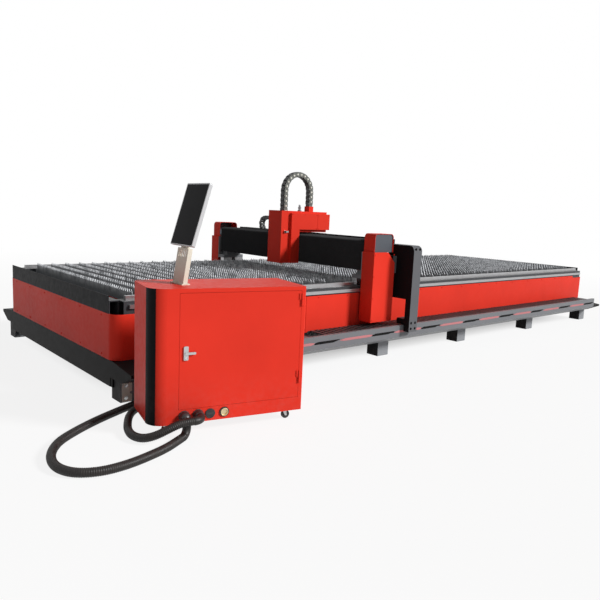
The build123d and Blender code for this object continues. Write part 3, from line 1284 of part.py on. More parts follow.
def hose(points):
    """Tube of straight runs joined by arcs as large as the runs allow."""
    radii = []
    for before, here, after in zip(points, points[1:], points[2:]):
        run_in, run_out = here - before, after - here
        turn = math.radians(run_in.get_angle(run_out))
        radii.append(BEND_SHARE * min(run_in.length, run_out.length) / math.tan(turn / 2))
    path = FilletPolyline(*points, radius=radii)
    tube = bent_tube(path, points[0], points[1] - points[0])
    expected = math.pi * (HOSE_RADIUS - FIT_GAP / 2) ** 2 * path.length
    print("hose radii", [round(radius) for radius in radii], "length", round(path.length),
          "volume share", round(tube.volume / expected, 4))
    return tube


def hose_inlet():
    """Plate under the lower tube where both hoses enter the bed."""
    x = (BED_CORNER.X + INLET_INSET, BED_CORNER.X + INLET_INSET + INLET_LENGTH)
    face = BED_CORNER.Y + INLET_DEPTH
    return block(x, (face, face + INLET_THICKNESS), (INLET_BOTTOM, FOOT_HEIGHT))


# Pedestal and screen

def stand_place():
    """The pedestal's own frame: on the cabinet's top, with x away from the operator."""
    return CABINET_PLACE * Location((PEDESTAL_U, PEDESTAL_V, CABINET_TOP), (0, 0, SCREEN_SWIVEL_ANGLE))


def screen_place():
    """The screen's frame in the pedestal's: its middle plane's lower edge, leaning back."""
    return Location((SCREEN_SETBACK, 0, SCREEN_LIFT), (0, SCREEN_TILT_ANGLE, 0))


def along_v(radius, length):
    """Cylinder across the pedestal, centred on its own origin."""
    return Rot(90, 0, 0) * Cylinder(radius, length)


def pedestal():
    """Folded channel column leaning back, with louvres near its top and the hinge's barrel and pin."""
    hinge = (screen_place() * Pos(SCREEN_DEPTH / 2 + HINGE_SETBACK, 0, HINGE_RISE)).position
    length = math.hypot(hinge.X, hinge.Z)
    top = length - PEDESTAL_NECK
    front = -PEDESTAL_DEPTH / 2
    column = block(about(0, PEDESTAL_DEPTH), about(0, PEDESTAL_WIDTH), (-PEDESTAL_DEPTH, top))
    column -= block((front + PEDESTAL_WALL, -front + OVERRUN), about(0, PEDESTAL_WIDTH - 2 * PEDESTAL_WALL),
                    (-PEDESTAL_DEPTH - OVERRUN, top - PEDESTAL_WALL))
    slot_z = (top - LOUVRE_TOP_GAP - LOUVRE_HEIGHT, top - LOUVRE_TOP_GAP)
    for number in range(LOUVRE_COUNT):
        v = (number - (LOUVRE_COUNT - 1) / 2) * LOUVRE_PITCH
        column -= block((front - OVERRUN, front + PEDESTAL_WALL + OVERRUN), about(v, LOUVRE_WIDTH), slot_z)
    column += block(about(0, PEDESTAL_NECK_DEPTH), about(0, HINGE_WIDTH), (top, length))
    column += Pos(0, 0, length) * along_v(HINGE_RADIUS, HINGE_WIDTH)
    column += Pos(0, 0, length) * along_v(HINGE_PIN_RADIUS, HINGE_WIDTH + 2 * HINGE_EAR)
    column = Rot(0, math.degrees(math.atan2(hinge.X, hinge.Z)), 0) * column
    column -= block(about(0, CABINET_DEPTH), about(0, CABINET_DEPTH), (-CABINET_DEPTH, 0))
    foot_width = PEDESTAL_WIDTH + 2 * PEDESTAL_FOOT_MARGIN
    foot_depth = PEDESTAL_DEPTH + 2 * PEDESTAL_FOOT_MARGIN
    foot = block(about(0, foot_depth), about(0, foot_width), (0, PEDESTAL_FOOT_HEIGHT))
    return stand_place() * (column + foot)


def screen():
    """Screen case with a pocket for the glass and two hinge ears behind its lower edge."""
    front, back = about(0, SCREEN_DEPTH)
    case = block((front, back), about(0, SCREEN_WIDTH), (0, SCREEN_HEIGHT))
    case = fillet(case.edges().filter_by(Axis.X), SCREEN_CORNER)
    pocket_v = about(0, SCREEN_WIDTH - 2 * BEZEL)
    case -= block((front - OVERRUN, front + GLASS), pocket_v, (BEZEL, SCREEN_HEIGHT - BEZEL))
    axis = back + HINGE_SETBACK
    for side in (-1, 1):
        middle = side * (HINGE_WIDTH / 2 + FIT_GAP + HINGE_EAR / 2)
        ear = block((back, axis), about(middle, HINGE_EAR), about(HINGE_RISE, 2 * HINGE_RADIUS))
        ear += Pos(axis, middle, HINGE_RISE) * along_v(HINGE_RADIUS, HINGE_EAR)
        case += ear - Pos(axis, middle, HINGE_RISE) * along_v(HINGE_PIN_RADIUS + FIT_GAP, HINGE_EAR + OVERRUN)
    return stand_place() * screen_place() * case


def screen_glass():
    """Dark glass in the front of the screen."""
    gap = BEZEL + FIT_GAP
    glass = block((-SCREEN_DEPTH / 2, GLASS - SCREEN_DEPTH / 2), about(0, SCREEN_WIDTH - 2 * gap),
                  (gap, SCREEN_HEIGHT - gap))
    return stand_place() * screen_place() * glass


SIDES = (-1, 1)
NODES = {
    "feet": feet(),
    "side_beams": group([side_frame(side) for side in SIDES]),
    "cross_beams": group([cross_frame(), end_beam(-1), end_beam(1), slat_bearers()]),
    "slats": slats(),
    "x_guides": group([piece(side) for side in SIDES for piece in (long_rail, long_rack)]),
    "side_panels": group([side_panel(side, x) for side in SIDES for x in panel_spans()]),
    "end_covers": group([end_cover(end) for end in SIDES]),
    "end_boards": group([end_board(end) for end in SIDES]),
    "skirts": group([end_skirt(end) for end in SIDES]),
    "side_trays": group([side_tray(side) for side in SIDES]),
    "x_chain_run": long_chain(),
    "hose_inlet": hose_inlet(),
    "gantry_beam": beam(),
    "saddles": group([saddle(side) for side in SIDES]),
    "x_bearing_blocks": group([guide_blocks(side) for side in SIDES]),
    "x_motors": group([long_drive(side) for side in SIDES]),
    "x_pinion_near": long_pinion(-1),
    "x_pinion_far": long_pinion(1),
    "leg_covers": group([leg_cover(side) for side in SIDES]),
    "leg_caps": group([leg_cap(side) for side in SIDES]),
    "cap_plates": group([cap_plate(side) for side in SIDES]),
    "bellows": group([bellows(-BEAM_HALF, HOUSING_NEAR_Y), bellows(HOUSING_FAR_Y, BEAM_HALF)]),
    "y_guides": group([cross_rails(), cross_rack()]),
    "y_chain_trough": chain_shelf(),
    "y_chain_run": cross_chain_run(),
    "y_chain_loop": cross_chain_loop(),
    "y_chain_lead": cross_chain_lead(),
    "riser": riser(),
    "carriage_plate": carriage_plate(),
    "y_bearing_blocks": cross_blocks(),
    "y_motor": cross_drive(),
    "z_housing": group([housing(), chain_sleeve(), housing_latch_base()]),
    "housing_side_cover": group([front_cover(), rear_cover()]),
    "housing_latch": housing_latch(),
    "z_module": lifting_unit(),
    "z_chain": head_chain(),
    "cutting_head": head_slide() + cutting_head(),
    "nozzle": nozzle(),
    "cabinet_shell": cabinet_shell(),
    "cabinet_band": cabinet_band(),
    "cabinet_door": cabinet_door() + door_lock(),
    "door_lever": door_lever(),
    "laser_source": laser_source(),
    "control_plate": group([drive_panel(), servo_drives()]),
    "caster_plates": caster_plates(),
    "hose_ports": group([port_collars(), port_plug(), water_socket()]),
    "hose_elbows": group([loop_elbow(), corner_elbow()]),
    "hose_loop": loop_hose(),
    "hose_corner": corner_hose(),
    "pedestal": pedestal(),
    "screen": screen(),
    "screen_glass": screen_glass(),
}
for number, (u, v) in enumerate(caster_places(), start=1):
    NODES[f"caster_fork_{number}"] = caster_fork(u, v)
    NODES[f"caster_wheel_{number}"] = caster_wheel(u, v)

os.makedirs("parts", exist_ok=True)
for name, shape in NODES.items():
    export_step(shape, f"parts/{name}.step")
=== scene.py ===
"""Open-bed fiber laser cutting machine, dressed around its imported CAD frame."""
import math

import bmesh
import bpy
from mathutils import Matrix, Vector


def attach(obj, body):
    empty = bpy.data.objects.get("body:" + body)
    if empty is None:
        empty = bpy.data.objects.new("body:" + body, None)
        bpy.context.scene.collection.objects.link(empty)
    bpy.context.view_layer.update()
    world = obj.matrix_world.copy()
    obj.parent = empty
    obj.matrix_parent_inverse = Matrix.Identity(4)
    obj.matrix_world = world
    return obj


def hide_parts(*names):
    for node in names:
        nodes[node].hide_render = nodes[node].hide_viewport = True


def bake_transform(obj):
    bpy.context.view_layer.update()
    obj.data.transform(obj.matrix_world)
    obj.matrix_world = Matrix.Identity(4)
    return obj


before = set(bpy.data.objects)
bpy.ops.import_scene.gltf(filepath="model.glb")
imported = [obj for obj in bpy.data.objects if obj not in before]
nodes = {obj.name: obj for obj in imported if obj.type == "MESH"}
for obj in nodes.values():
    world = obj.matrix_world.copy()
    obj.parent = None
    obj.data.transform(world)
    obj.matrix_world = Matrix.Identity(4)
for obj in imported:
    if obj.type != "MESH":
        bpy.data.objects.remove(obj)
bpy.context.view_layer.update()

# Feet and welded tubes. The bed is a frame of square steel tubes on channel feet,
# sprayed grey after welding, so the paint shows a fine orange peel and shop dust.
# The feet's faces that look along the bed are painted black as shade, and their
# grey is painted lighter against the shadow of the ledge above them.
DARK_GREY = (0.040, 0.042, 0.046, 1)
# Foot grey painted lighter than the ledge's grey, as painted light that offsets the ledge's shadow on the
# feet.
FOOT_GREY_WITH_PAINTED_LIGHT = (0.27, 0.28, 0.295, 1)
# Black painted as shade on the faces that look along the bed.
END_SHADE_BLACK = (0.010, 0.010, 0.011, 1)
DUST = (0.36, 0.34, 0.32, 1)
SPLASH_Z = (0.06, 0.42)
SPLASH_DUST = 0.07
PEEL_DEPTH, PEEL_STRENGTH = 0.0004, 0.12


def new_group(name, inputs, outputs):
    group = bpy.data.node_groups.new(name, "ShaderNodeTree")
    for label, kind, value in inputs:
        socket = group.interface.new_socket(label, in_out="INPUT", socket_type="NodeSocket" + kind)
        socket.default_value = value
    for label, kind in outputs:
        group.interface.new_socket(label, in_out="OUTPUT", socket_type="NodeSocket" + kind)
    return group, group.nodes.new("NodeGroupInput").outputs, group.nodes.new("NodeGroupOutput").inputs


def feed(tree, value, socket):
    """Links an output to a socket, or sets the socket to a plain value."""
    if hasattr(value, "is_output"):
        tree.links.new(value, socket)
    else:
        socket.default_value = value


def add(tree, kind, inputs, **settings):
    """A node with its settings made and its inputs linked or set. Gives its outputs."""
    node = tree.nodes.new(kind)
    for label, value in settings.items():
        setattr(node, label, value)
    for label, value in inputs.items():
        feed(tree, value, node.inputs[label])
    return node.outputs


def math_node(tree, operation, first, second=0.0, clamp=False):
    return add(tree, "ShaderNodeMath", {0: first, 1: second}, operation=operation, use_clamp=clamp)[0]


def noise(tree, vector, scale, detail=2.0):
    return add(tree, "ShaderNodeTexNoise", {"Vector": vector, "Scale": scale, "Detail": detail})["Fac"]


def mix_colour(tree, factor, first, second):
    return add(tree, "ShaderNodeMix", {0: factor, 6: first, 7: second}, data_type="RGBA")[2]


def span(tree, value, low, high, out_low=0.0, out_high=1.0):
    ends = {"From Min": low, "From Max": high, "To Min": out_low, "To Max": out_high}
    return add(tree, "ShaderNodeMapRange", {"Value": value, **ends})["Result"]


def axes(tree, vector):
    return add(tree, "ShaderNodeSeparateXYZ", {0: vector})


def object_place(tree):
    return tree.nodes.new("ShaderNodeTexCoord").outputs["Object"]


def facing(tree):
    return axes(tree, tree.nodes.new("ShaderNodeNewGeometry").outputs["Normal"])


def build_sprayed_paint():
    """Sprayed coat: mottling, dust on upward faces and near the floor, and an orange-peel height."""
    group, given, result = new_group(
        "sprayed paint",
        [("Colour", "Color", (0.5, 0.5, 0.5, 1)), ("Dust Colour", "Color", DUST), ("Dust", "Float", 0.3),
         ("Mottle", "Float", 0.1), ("Roughness", "Float", 0.4)],
        [("Colour", "Color"), ("Roughness", "Float"), ("Height", "Float")])
    place = object_place(group)
    broad = noise(group, place, 2.3, 4.0)
    fine = noise(group, place, 26.0, 5.0)
    drift = math_node(group, "MULTIPLY", math_node(group, "SUBTRACT", broad, 0.5), given["Mottle"])
    drift = math_node(group, "ADD", drift, 1.0)
    shade = add(group, "ShaderNodeHueSaturation", {"Color": given["Colour"], "Value": drift})["Color"]
    upward = span(group, facing(group)["Z"], 0.35, 0.95)
    patch = span(group, fine, 0.35, 0.75)
    settled = math_node(group, "MULTIPLY", math_node(group, "MULTIPLY", upward, patch), given["Dust"])
    low = span(group, axes(group, place)["Z"], *SPLASH_Z, SPLASH_DUST, 0.0)
    settled = math_node(group, "MAXIMUM", settled, math_node(group, "MULTIPLY", low, patch))
    group.links.new(mix_colour(group, settled, shade, given["Dust Colour"]), result["Colour"])
    rough = math_node(group, "ADD", given["Roughness"], span(group, fine, 0.3, 0.7, -0.05, 0.07))
    rough = math_node(group, "ADD", rough, math_node(group, "MULTIPLY", settled, 0.3), True)
    group.links.new(rough, result["Roughness"])
    group.links.new(noise(group, place, 210.0, 1.0), result["Height"])
    return group


sprayed_paint = build_sprayed_paint()


def new_material(name):
    material = bpy.data.materials.new(name)
    material.use_nodes = True
    tree = material.node_tree
    return material, tree, tree.nodes["Principled BSDF"]


def bump(tree, shader, height, distance, strength):
    relief = {"Height": height, "Distance": distance, "Strength": strength}
    tree.links.new(add(tree, "ShaderNodeBump", relief)["Normal"], shader.inputs["Normal"])


def coat(tree, shader, colour, roughness):
    tree.links.new(colour, shader.inputs["Base Color"])
    tree.links.new(roughness, shader.inputs["Roughness"])


def finished(name, group, values, depth, strength):
    """Material whose colour, roughness and relief come from a shared finish with its own values."""
    material, tree, shader = new_material(name)
    finish = add(tree, "ShaderNodeGroup", values, node_tree=group)
    coat(tree, shader, finish["Colour"], finish["Roughness"])
    bump(tree, shader, finish["Height"], depth, strength)
    return material, shader


def paint(name, colour, roughness=0.4, dust=0.3, mottle=0.16, gloss=0.25):
    values = {"Colour": colour, "Dust": dust, "Mottle": mottle, "Roughness": roughness}
    material, shader = finished(name, sprayed_paint, values, PEEL_DEPTH, PEEL_STRENGTH)
    shader.inputs["Specular IOR Level"].default_value = gloss
    return material


def paint_end_shade(material, colour):
    """Paints shade on a sprayed piece: its faces that look along the bed are made black."""
    tree = material.node_tree
    # Mask of the faces that look along the bed, where the shade is painted.
    along = span(tree, math_node(tree, "ABSOLUTE", facing(tree)["X"]), 0.6, 0.8)
    tree.links.new(mix_colour(tree, along, colour, END_SHADE_BLACK), tree.nodes["Group"].inputs["Colour"])


def dress(material, *names):
    for name in names:
        mesh = nodes[name].data
        mesh.materials.clear()
        mesh.materials.append(material)


grey_paint = paint("dark grey frame paint", DARK_GREY, 0.46, 0.30)
dress(grey_paint, "side_beams", "cross_beams", "hose_inlet")
foot_paint_with_painted_light_and_shade = paint("grey foot paint with black ends", FOOT_GREY_WITH_PAINTED_LIGHT, 0.5, 0.05, 0.2, 0.08)
# Feet: painted shade on the faces that look along the bed.
paint_end_shade(foot_paint_with_painted_light_and_shade, FOOT_GREY_WITH_PAINTED_LIGHT)
dress(foot_paint_with_painted_light_and_shade, "feet")

# Guide rails and racks. Ground and hardened steel bars bolted along the tops and the
# outer faces of the upper tubes, bright and drawn lengthwise by the grinding.
GROUND_STEEL = (0.42, 0.42, 0.43, 1)
OIL_STAIN = (0.2, 0.18, 0.16, 1)
LINES_ALONG_X = (2.0, 400.0, 400.0)
LINE_DEPTH, LINE_STRENGTH = 0.0002, 0.3


def build_drawn_metal():
    """Bare metal: fine lines along one axis, with dull patches from oil and handling."""
    group, given, result = new_group(
        "drawn metal",
        [("Colour", "Color", GROUND_STEEL), ("Stain", "Color", OIL_STAIN), ("Staining", "Float", 0.3),
         ("Roughness", "Float", 0.32), ("Lines", "Vector", LINES_ALONG_X)],
        [("Colour", "Color"), ("Roughness", "Float"), ("Height", "Float")])
    place = object_place(group)
    drawn = add(group, "ShaderNodeMapping", {"Vector": place, "Scale": given["Lines"]})["Vector"]
    lines = noise(group, drawn, 1.0)
    patches = span(group, noise(group, place, 9.0, 5.0), 0.42, 0.72)
    stain = math_node(group, "MULTIPLY", patches, given["Staining"])
    group.links.new(mix_colour(group, stain, given["Colour"], given["Stain"]), result["Colour"])
    rough = math_node(group, "ADD", given["Roughness"], span(group, lines, 0.3, 0.7, -0.06, 0.08))
    rough = math_node(group, "ADD", rough, math_node(group, "MULTIPLY", stain, 0.35), True)
    group.links.new(rough, result["Roughness"])
    group.links.new(lines, result["Height"])
    return group


drawn_metal = build_drawn_metal()


def bare_metal(name, colour, roughness=0.32, staining=0.25, lines=LINES_ALONG_X, stain=OIL_STAIN):
    values = {"Colour": colour, "Stain": stain, "Staining": staining, "Roughness": roughness, "Lines": lines}
    material, shader = finished(name, drawn_metal, values, LINE_DEPTH, LINE_STRENGTH)
    shader.inputs["Metallic"].default_value = 0.9
    return material


ground_steel = bare_metal("ground rail steel", GROUND_STEEL)
dress(ground_steel, "x_guides", "y_guides", "x_bearing_blocks", "y_bearing_blocks", "x_pinion_near",
      "x_pinion_far")

# Cutting slats. Strips of mild steel cut with a row of pointed teeth, standing on edge
# across the table in slots, scorched and splashed where the beam has crossed them.
SLAT_LENGTH = 2.320
SLAT_THICKNESS = 0.006
SLAT_COUNT = 50
SLAT_PITCH = 0.150
SLAT_BOTTOM = 0.715
SLAT_TOP = 0.825
TOOTH_DEPTH = 0.030
TOOTH_PITCH = 0.040
SCORCH_Z = (0.74, 0.822)
MILL_DARK, MILL_PALE = (0.10, 0.105, 0.112, 1), (0.20, 0.21, 0.22, 1)
SCORCHED = (0.52, 0.53, 0.55, 1)


def object_from(name, mesh):
    made = bpy.data.objects.new(name, mesh)
    bpy.context.scene.collection.objects.link(made)
    return made


def mesh_from(name, work):
    mesh = bpy.data.meshes.new(name)
    work.to_mesh(mesh)
    work.free()
    return mesh


def prism(work, outline, low, high, axis):
    """Closed outline in the plane across an axis (0 x, 1 y, 2 z), drawn out between two places."""
    rings = []
    for depth in (low, high):
        ring = []
        for corner in outline:
            place = list(corner)
            place.insert(axis, depth)
            ring.append(work.verts.new(place))
        rings.append(ring)
    faces = [work.faces.new(rings[0]), work.faces.new(rings[1])]
    for number in range(len(outline)):
        after = (number + 1) % len(outline)
        faces.append(work.faces.new((rings[0][number], rings[0][after], rings[1][after], rings[1][number])))
    bmesh.ops.recalc_face_normals(work, faces=faces)


def new_tree(name, inputs):
    """Geometry tree with a seed, the inputs named and a material."""
    tree = bpy.data.node_groups.new(name, "GeometryNodeTree")
    for label, kind in [("Geometry", "Geometry")] + inputs + [("Material", "Material")]:
        tree.interface.new_socket(label, in_out="INPUT", socket_type="NodeSocket" + kind)
    tree.interface.new_socket("Geometry", in_out="OUTPUT", socket_type="NodeSocketGeometry")
    return tree, tree.nodes.new("NodeGroupInput").outputs


def end_tree(tree, given, geometry):
    """Realises a tree's geometry, gives it its material and puts it out."""
    real = add(tree, "GeometryNodeRealizeInstances", {"Geometry": geometry})["Geometry"]
    coated = add(tree, "GeometryNodeSetMaterial", {"Geometry": real, "Material": given["Material"]})
    tree.links.new(coated["Geometry"], tree.nodes.new("NodeGroupOutput").inputs[0])
    return tree


def build_row_tree():
    """A row of copies of the seed at an even step."""
    tree, given = new_tree("even row", [("Count", "Int"), ("First", "Vector"), ("Step", "Vector")])
    spots = {"Count": given["Count"], "Start Location": given["First"], "Offset": given["Step"]}
    line = add(tree, "GeometryNodeMeshLine", spots)["Mesh"]
    copies = add(tree, "GeometryNodeInstanceOnPoints", {"Points": line, "Instance": given["Geometry"]})
    return end_tree(tree, given, copies["Instances"])


def grown(name, mesh, tree, values):
    """The plain mesh object that a tree makes of a seed mesh, with the tree's inputs set by name."""
    seed = object_from(name + "_seed", mesh)
    modifier = seed.modifiers.new("grow", "NODES")
    modifier.node_group = tree
    for item in tree.interface.items_tree:
        if item.item_type == "SOCKET" and item.in_out == "INPUT" and item.name in values:
            modifier[item.identifier] = values[item.name]
    seed.update_tag()
    graph = bpy.context.evaluated_depsgraph_get()
    graph.update()
    made = bpy.data.meshes.new_from_object(seed.evaluated_get(graph))
    made.name = name
    bpy.data.objects.remove(seed)
    return object_from(name, made)


row_tree = build_row_tree()
slat_outline = [(-SLAT_LENGTH / 2, SLAT_BOTTOM), (SLAT_LENGTH / 2, SLAT_BOTTOM)]
teeth = round(SLAT_LENGTH / TOOTH_PITCH)
for number in range(2 * teeth + 1):
    tip = SLAT_TOP if number % 2 else SLAT_TOP - TOOTH_DEPTH
    slat_outline.append((SLAT_LENGTH * (0.5 - number / (2 * teeth)), tip))
slat_work = bmesh.new()
prism(slat_work, slat_outline, -SLAT_THICKNESS / 2, SLAT_THICKNESS / 2, 0)
slat_steel, slat_tree, slat_shader = new_material("scorched slat steel")
slat_place = object_place(slat_tree)
splashes = span(slat_tree, noise(slat_tree, slat_place, 14.0, 5.0), 0.3, 0.62)
toward_tip = span(slat_tree, axes(slat_tree, slat_place)["Z"], *SCORCH_Z)
scorch = math_node(slat_tree, "MULTIPLY", toward_tip, splashes)
mill = mix_colour(slat_tree, noise(slat_tree, slat_place, 30.0, 4.0), MILL_DARK, MILL_PALE)
coat(slat_tree, slat_shader, mix_colour(slat_tree, scorch, mill, SCORCHED),
     span(slat_tree, scorch, 0.0, 1.0, 0.62, 0.42))
slat_shader.inputs["Metallic"].default_value = 0.55
bump(slat_tree, slat_shader, noise(slat_tree, slat_place, 160.0, 3.0), 0.0006, 0.5)
slat_row = grown("toothed_slats", mesh_from("slat", slat_work), row_tree, {
    "Count": SLAT_COUNT, "First": (-(SLAT_COUNT - 1) * SLAT_PITCH / 2, 0, 0), "Step": (SLAT_PITCH, 0, 0),
    "Material": slat_steel})
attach(slat_row, "bed")
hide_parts("slats")

# Painted covers of the bed. Folded sheet, powder coated in a bright signal red with a
# faint orange peel over sheet and screw heads alike, and wrapped round both ends.
SIGNAL_RED = (0.76, 0.040, 0.022, 1)
red_paint = paint("signal red powder coat", SIGNAL_RED, 0.42, 0.02, 0.26, 0.06)
dress(red_paint, "side_panels", "end_covers")
soft_black = paint("soft black paint", (0.006, 0.006, 0.007, 1), 0.5, 0.02, 0.2, 0.06)
dress(soft_black, "end_boards")
zinc = bare_metal("zinc plated steel", (0.55, 0.55, 0.55, 1), 0.35, 0.2, (60.0, 60.0, 60.0))
SIDES = ((-1, "near"), (1, "far"))
BED_SIDE_Y = 1.320
BED_END_X = 3.907
PANEL_SCREW_ROWS = (0.352, 0.672)
PANEL_SCREW_X = [-3.40 + 0.40 * number for number in range(18)]
END_SCREW_ROWS = (0.325, 0.635)
END_SCREW_Y = [-1.10 + 0.44 * number for number in range(6)]
SCREW_RADIUS = 0.0085
SCREW_PROFILE = [(1.0, 0.0, 0), (1.0, 0.18, 0), (0.82, 0.42, 0), (0.52, 0.52, 0), (0.46, 0.52, 1),
                 (0.40, 0.25, 1)]
SEAM_X = -1.960
SEAM_STRIP_HALF = 0.030
SEAM_STRIP_Z = (0.336, 0.688)
SEAM_STRIP_Y = (1.3128, 1.3158)


def turned_head(name, profile, radius, facing_way):
    """Fastener head of twelve-sided rings (radius, height, whether hexagonal), turned to face one way."""
    work = bmesh.new()
    rings = []
    for share, height, hexagonal in profile:
        ring = []
        for number in range(12):
            angle = math.radians(30 * number)
            reach = radius * share * (math.cos(math.radians(30)) if hexagonal and number % 2 else 1.0)
            ring.append(work.verts.new((reach * math.cos(angle), reach * math.sin(angle), radius * height)))
        rings.append(ring)
    for before, after in zip(rings, rings[1:]):
        for number in range(12):
            follow = (number + 1) % 12
            work.faces.new((before[number], before[follow], after[follow], after[number]))
    work.faces.new(list(reversed(rings[0])))
    work.faces.new(rings[-1])
    mesh = mesh_from(name, work)
    mesh.transform(Vector((0, 0, 1)).rotation_difference(Vector(facing_way)).to_matrix().to_4x4())
    return mesh


def build_spot_tree():
    """One head set on each of the seed's points."""
    tree, given = new_tree("set heads", [("Head", "Object")])
    head = add(tree, "GeometryNodeObjectInfo", {"Object": given["Head"]})["Geometry"]
    copies = add(tree, "GeometryNodeInstanceOnPoints", {"Points": given["Geometry"], "Instance": head})
    return end_tree(tree, given, copies["Instances"])


spot_tree = build_spot_tree()


def set_heads(name, places, head_mesh, material, body):
    """Rides a set of like heads, one at each place, on a body."""
    points = bpy.data.meshes.new(name)
    points.from_pydata([tuple(place) for place in places], [], [])
    head = object_from(name + "_head", head_mesh)
    made = grown(name, points, spot_tree, {"Head": head, "Material": material})
    bpy.data.objects.remove(head)
    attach(made, body)


def put_on(name, mesh, material, body):
    """Rides one plain piece on a body."""
    mesh.materials.append(material)
    made = object_from(name, mesh)
    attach(made, body)


for side, word in SIDES:
    spots = [(x, side * BED_SIDE_Y, z) for x in PANEL_SCREW_X for z in PANEL_SCREW_ROWS]
    head = turned_head("screw", SCREW_PROFILE, SCREW_RADIUS, (0, side, 0))
    set_heads("panel_screws_" + word, spots, head, red_paint, "bed")
seam_outline = [(SEAM_X - SEAM_STRIP_HALF, SEAM_STRIP_Z[0]), (SEAM_X + SEAM_STRIP_HALF, SEAM_STRIP_Z[0]),
                (SEAM_X + SEAM_STRIP_HALF, SEAM_STRIP_Z[1]), (SEAM_X - SEAM_STRIP_HALF, SEAM_STRIP_Z[1])]
for side, word in SIDES:
    seam_work = bmesh.new()
    prism(seam_work, seam_outline, side * SEAM_STRIP_Y[0], side * SEAM_STRIP_Y[1], 1)
    put_on("seam_strip_" + word, mesh_from("seam_strip_" + word, seam_work), red_paint, "bed")
for end, word in ((-1, "front"), (1, "rear")):
    spots = [(end * BED_END_X, y, z) for y in END_SCREW_Y for z in END_SCREW_ROWS]
    head = turned_head("screw", SCREW_PROFILE, SCREW_RADIUS, (end, 0, 0))
    set_heads("end_screws_" + word, spots, head, red_paint, "bed")

# Ledges. A folded grey tray runs along each side, with skirts tabbed to the corner feet
# at its ends, painted near black as shade. Near-black liners paint the shade of the slots
# in its lip, and red strips paled by painted sheen take turns with them.
# Near-black here is painted shade: the skirts on the shaded end and the liners that stand for dark slot
# openings.
painted_shade_black = paint("near-black painted shade on the ledge", (0.007, 0.007, 0.0075, 1), 0.5, 0.01, 0.2, 0.05)
dress(painted_shade_black, "skirts")
tray_grey = paint("grey ledge paint", (0.165, 0.170, 0.182, 1), 0.42, 0.10)
dress(tray_grey, "side_trays")
TAB_X = (3.8925, 3.9030)
TAB_OUTLINE = [(1.250, 0.092), (1.300, 0.092), (1.300, 0.1645), (1.250, 0.1645)]
LEDGE_OUTER_Y = 1.635
LEDGE_LINE_Z = 0.3035
LEDGE_SLOTS = 10
LEDGE_SLOT_PITCH = 0.782
# Liners that stand for the shaded slot openings, as painted shade.
SLOT_SHADE_OUTLINE = [(-0.165, -0.012), (0.080, -0.012), (0.165, 0.008), (0.165, 0.012), (-0.120, 0.012),
                      (-0.165, 0.000)]
STRIP_OUTLINE = [(-0.226, -0.004), (-0.176, -0.012), (0.190, -0.012), (0.226, 0.000), (0.226, 0.006),
                 (0.176, 0.012), (-0.150, 0.012), (-0.226, 0.000)]
STRIP_PROUD = 0.0015
FOOT_PLATE_OUTLINE = [(-3.880, 0.004), (-3.800, 0.004), (-3.800, 0.060), (-3.818, 0.066), (-3.818, 0.078),
                      (-3.800, 0.084), (-3.800, 0.160), (-3.880, 0.160)]
FOOT_FACE_Y = -1.420
FOOT_PLATE_PROUD = 0.003
FOOT_BOLT_X, FOOT_BOLT_ROWS = -3.848, (0.035, 0.130)
FOOT_BOLT_RADIUS = 0.009
FOOT_BOLT_PROFILE = [(1.6, 0.0, 0), (1.6, 0.2, 0), (1.0, 0.22, 1), (1.0, 0.75, 1), (0.85, 0.9, 0)]
tab_work = bmesh.new()
for end in (-1, 1):
    for side in (-1, 1):
        prism(tab_work, [(side * y, z) for y, z in TAB_OUTLINE], end * TAB_X[0], end * TAB_X[1], 0)
put_on("skirt_tabs", mesh_from("skirt_tabs", tab_work), painted_shade_black, "bed")
# Pale pink red: the strips' red with a sheen painted into its colour.
red_with_painted_sheen = paint("red enamel paled by painted sheen", (0.52, 0.20, 0.21, 1), 0.5, 0.02, 0.2, 0.06)
# Pale primer painted lighter still, as painted light on a plate that lies in the cabinet's shadow.
bracket_primer_with_painted_light = paint("pale bracket primer lightened as painted light", (0.90, 0.87, 0.77, 1), 0.5, 0.02, 0.3)
plate_work = bmesh.new()
plate_front = FOOT_FACE_Y - FOOT_PLATE_PROUD
prism(plate_work, FOOT_PLATE_OUTLINE, plate_front, FOOT_FACE_Y + FOOT_PLATE_PROUD, 1)
put_on("corner_foot_plate", mesh_from("corner_foot_plate", plate_work), bracket_primer_with_painted_light, "bed")
set_heads("foot_plate_bolts", [(FOOT_BOLT_X, plate_front, z) for z in FOOT_BOLT_ROWS],
          turned_head("bolt", FOOT_BOLT_PROFILE, FOOT_BOLT_RADIUS, (0, -1, 0)), zinc, "bed")
for side, word in SIDES:
    for name, outline, count, material, slot in (
            ("ledge_strips_", STRIP_OUTLINE, LEDGE_SLOTS - 1, red_with_painted_sheen, "red_paint"),
            ("ledge_slots_", SLOT_SHADE_OUTLINE, LEDGE_SLOTS, painted_shade_black, "black_paint")):
        let_in = bmesh.new()
        prism(let_in, outline, -STRIP_PROUD, STRIP_PROUD, 1)
        first = (-(count - 1) * LEDGE_SLOT_PITCH / 2, side * LEDGE_OUTER_Y, LEDGE_LINE_Z)
        row = grown(name + word, mesh_from(name + "one", let_in), row_tree, {
            "Count": count, "First": first, "Step": (LEDGE_SLOT_PITCH, 0, 0), "Material": material})
        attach(row, "bed")

# Long drag chain. Black nylon ladder links, hinged on pins through their side plates,
# lie in the near tray. Crossbars snap over the hoses inside.
LONG_CHAIN_START, LONG_CHAIN_END = -1.950, 3.600
LONG_CHAIN_Y, LONG_CHAIN_Z = -1.4725, 0.3353
LONG_CHAIN_LINKS = 87
LONG_CHAIN_WIDTH, LONG_CHAIN_HEIGHT, LONG_CHAIN_PLATE = 0.245, 0.050, 0.006
LONG_BAR_SHARE = 0.5
SCUFF_GREY = (0.16, 0.16, 0.16, 1)
PIN_PROUD = 0.0025


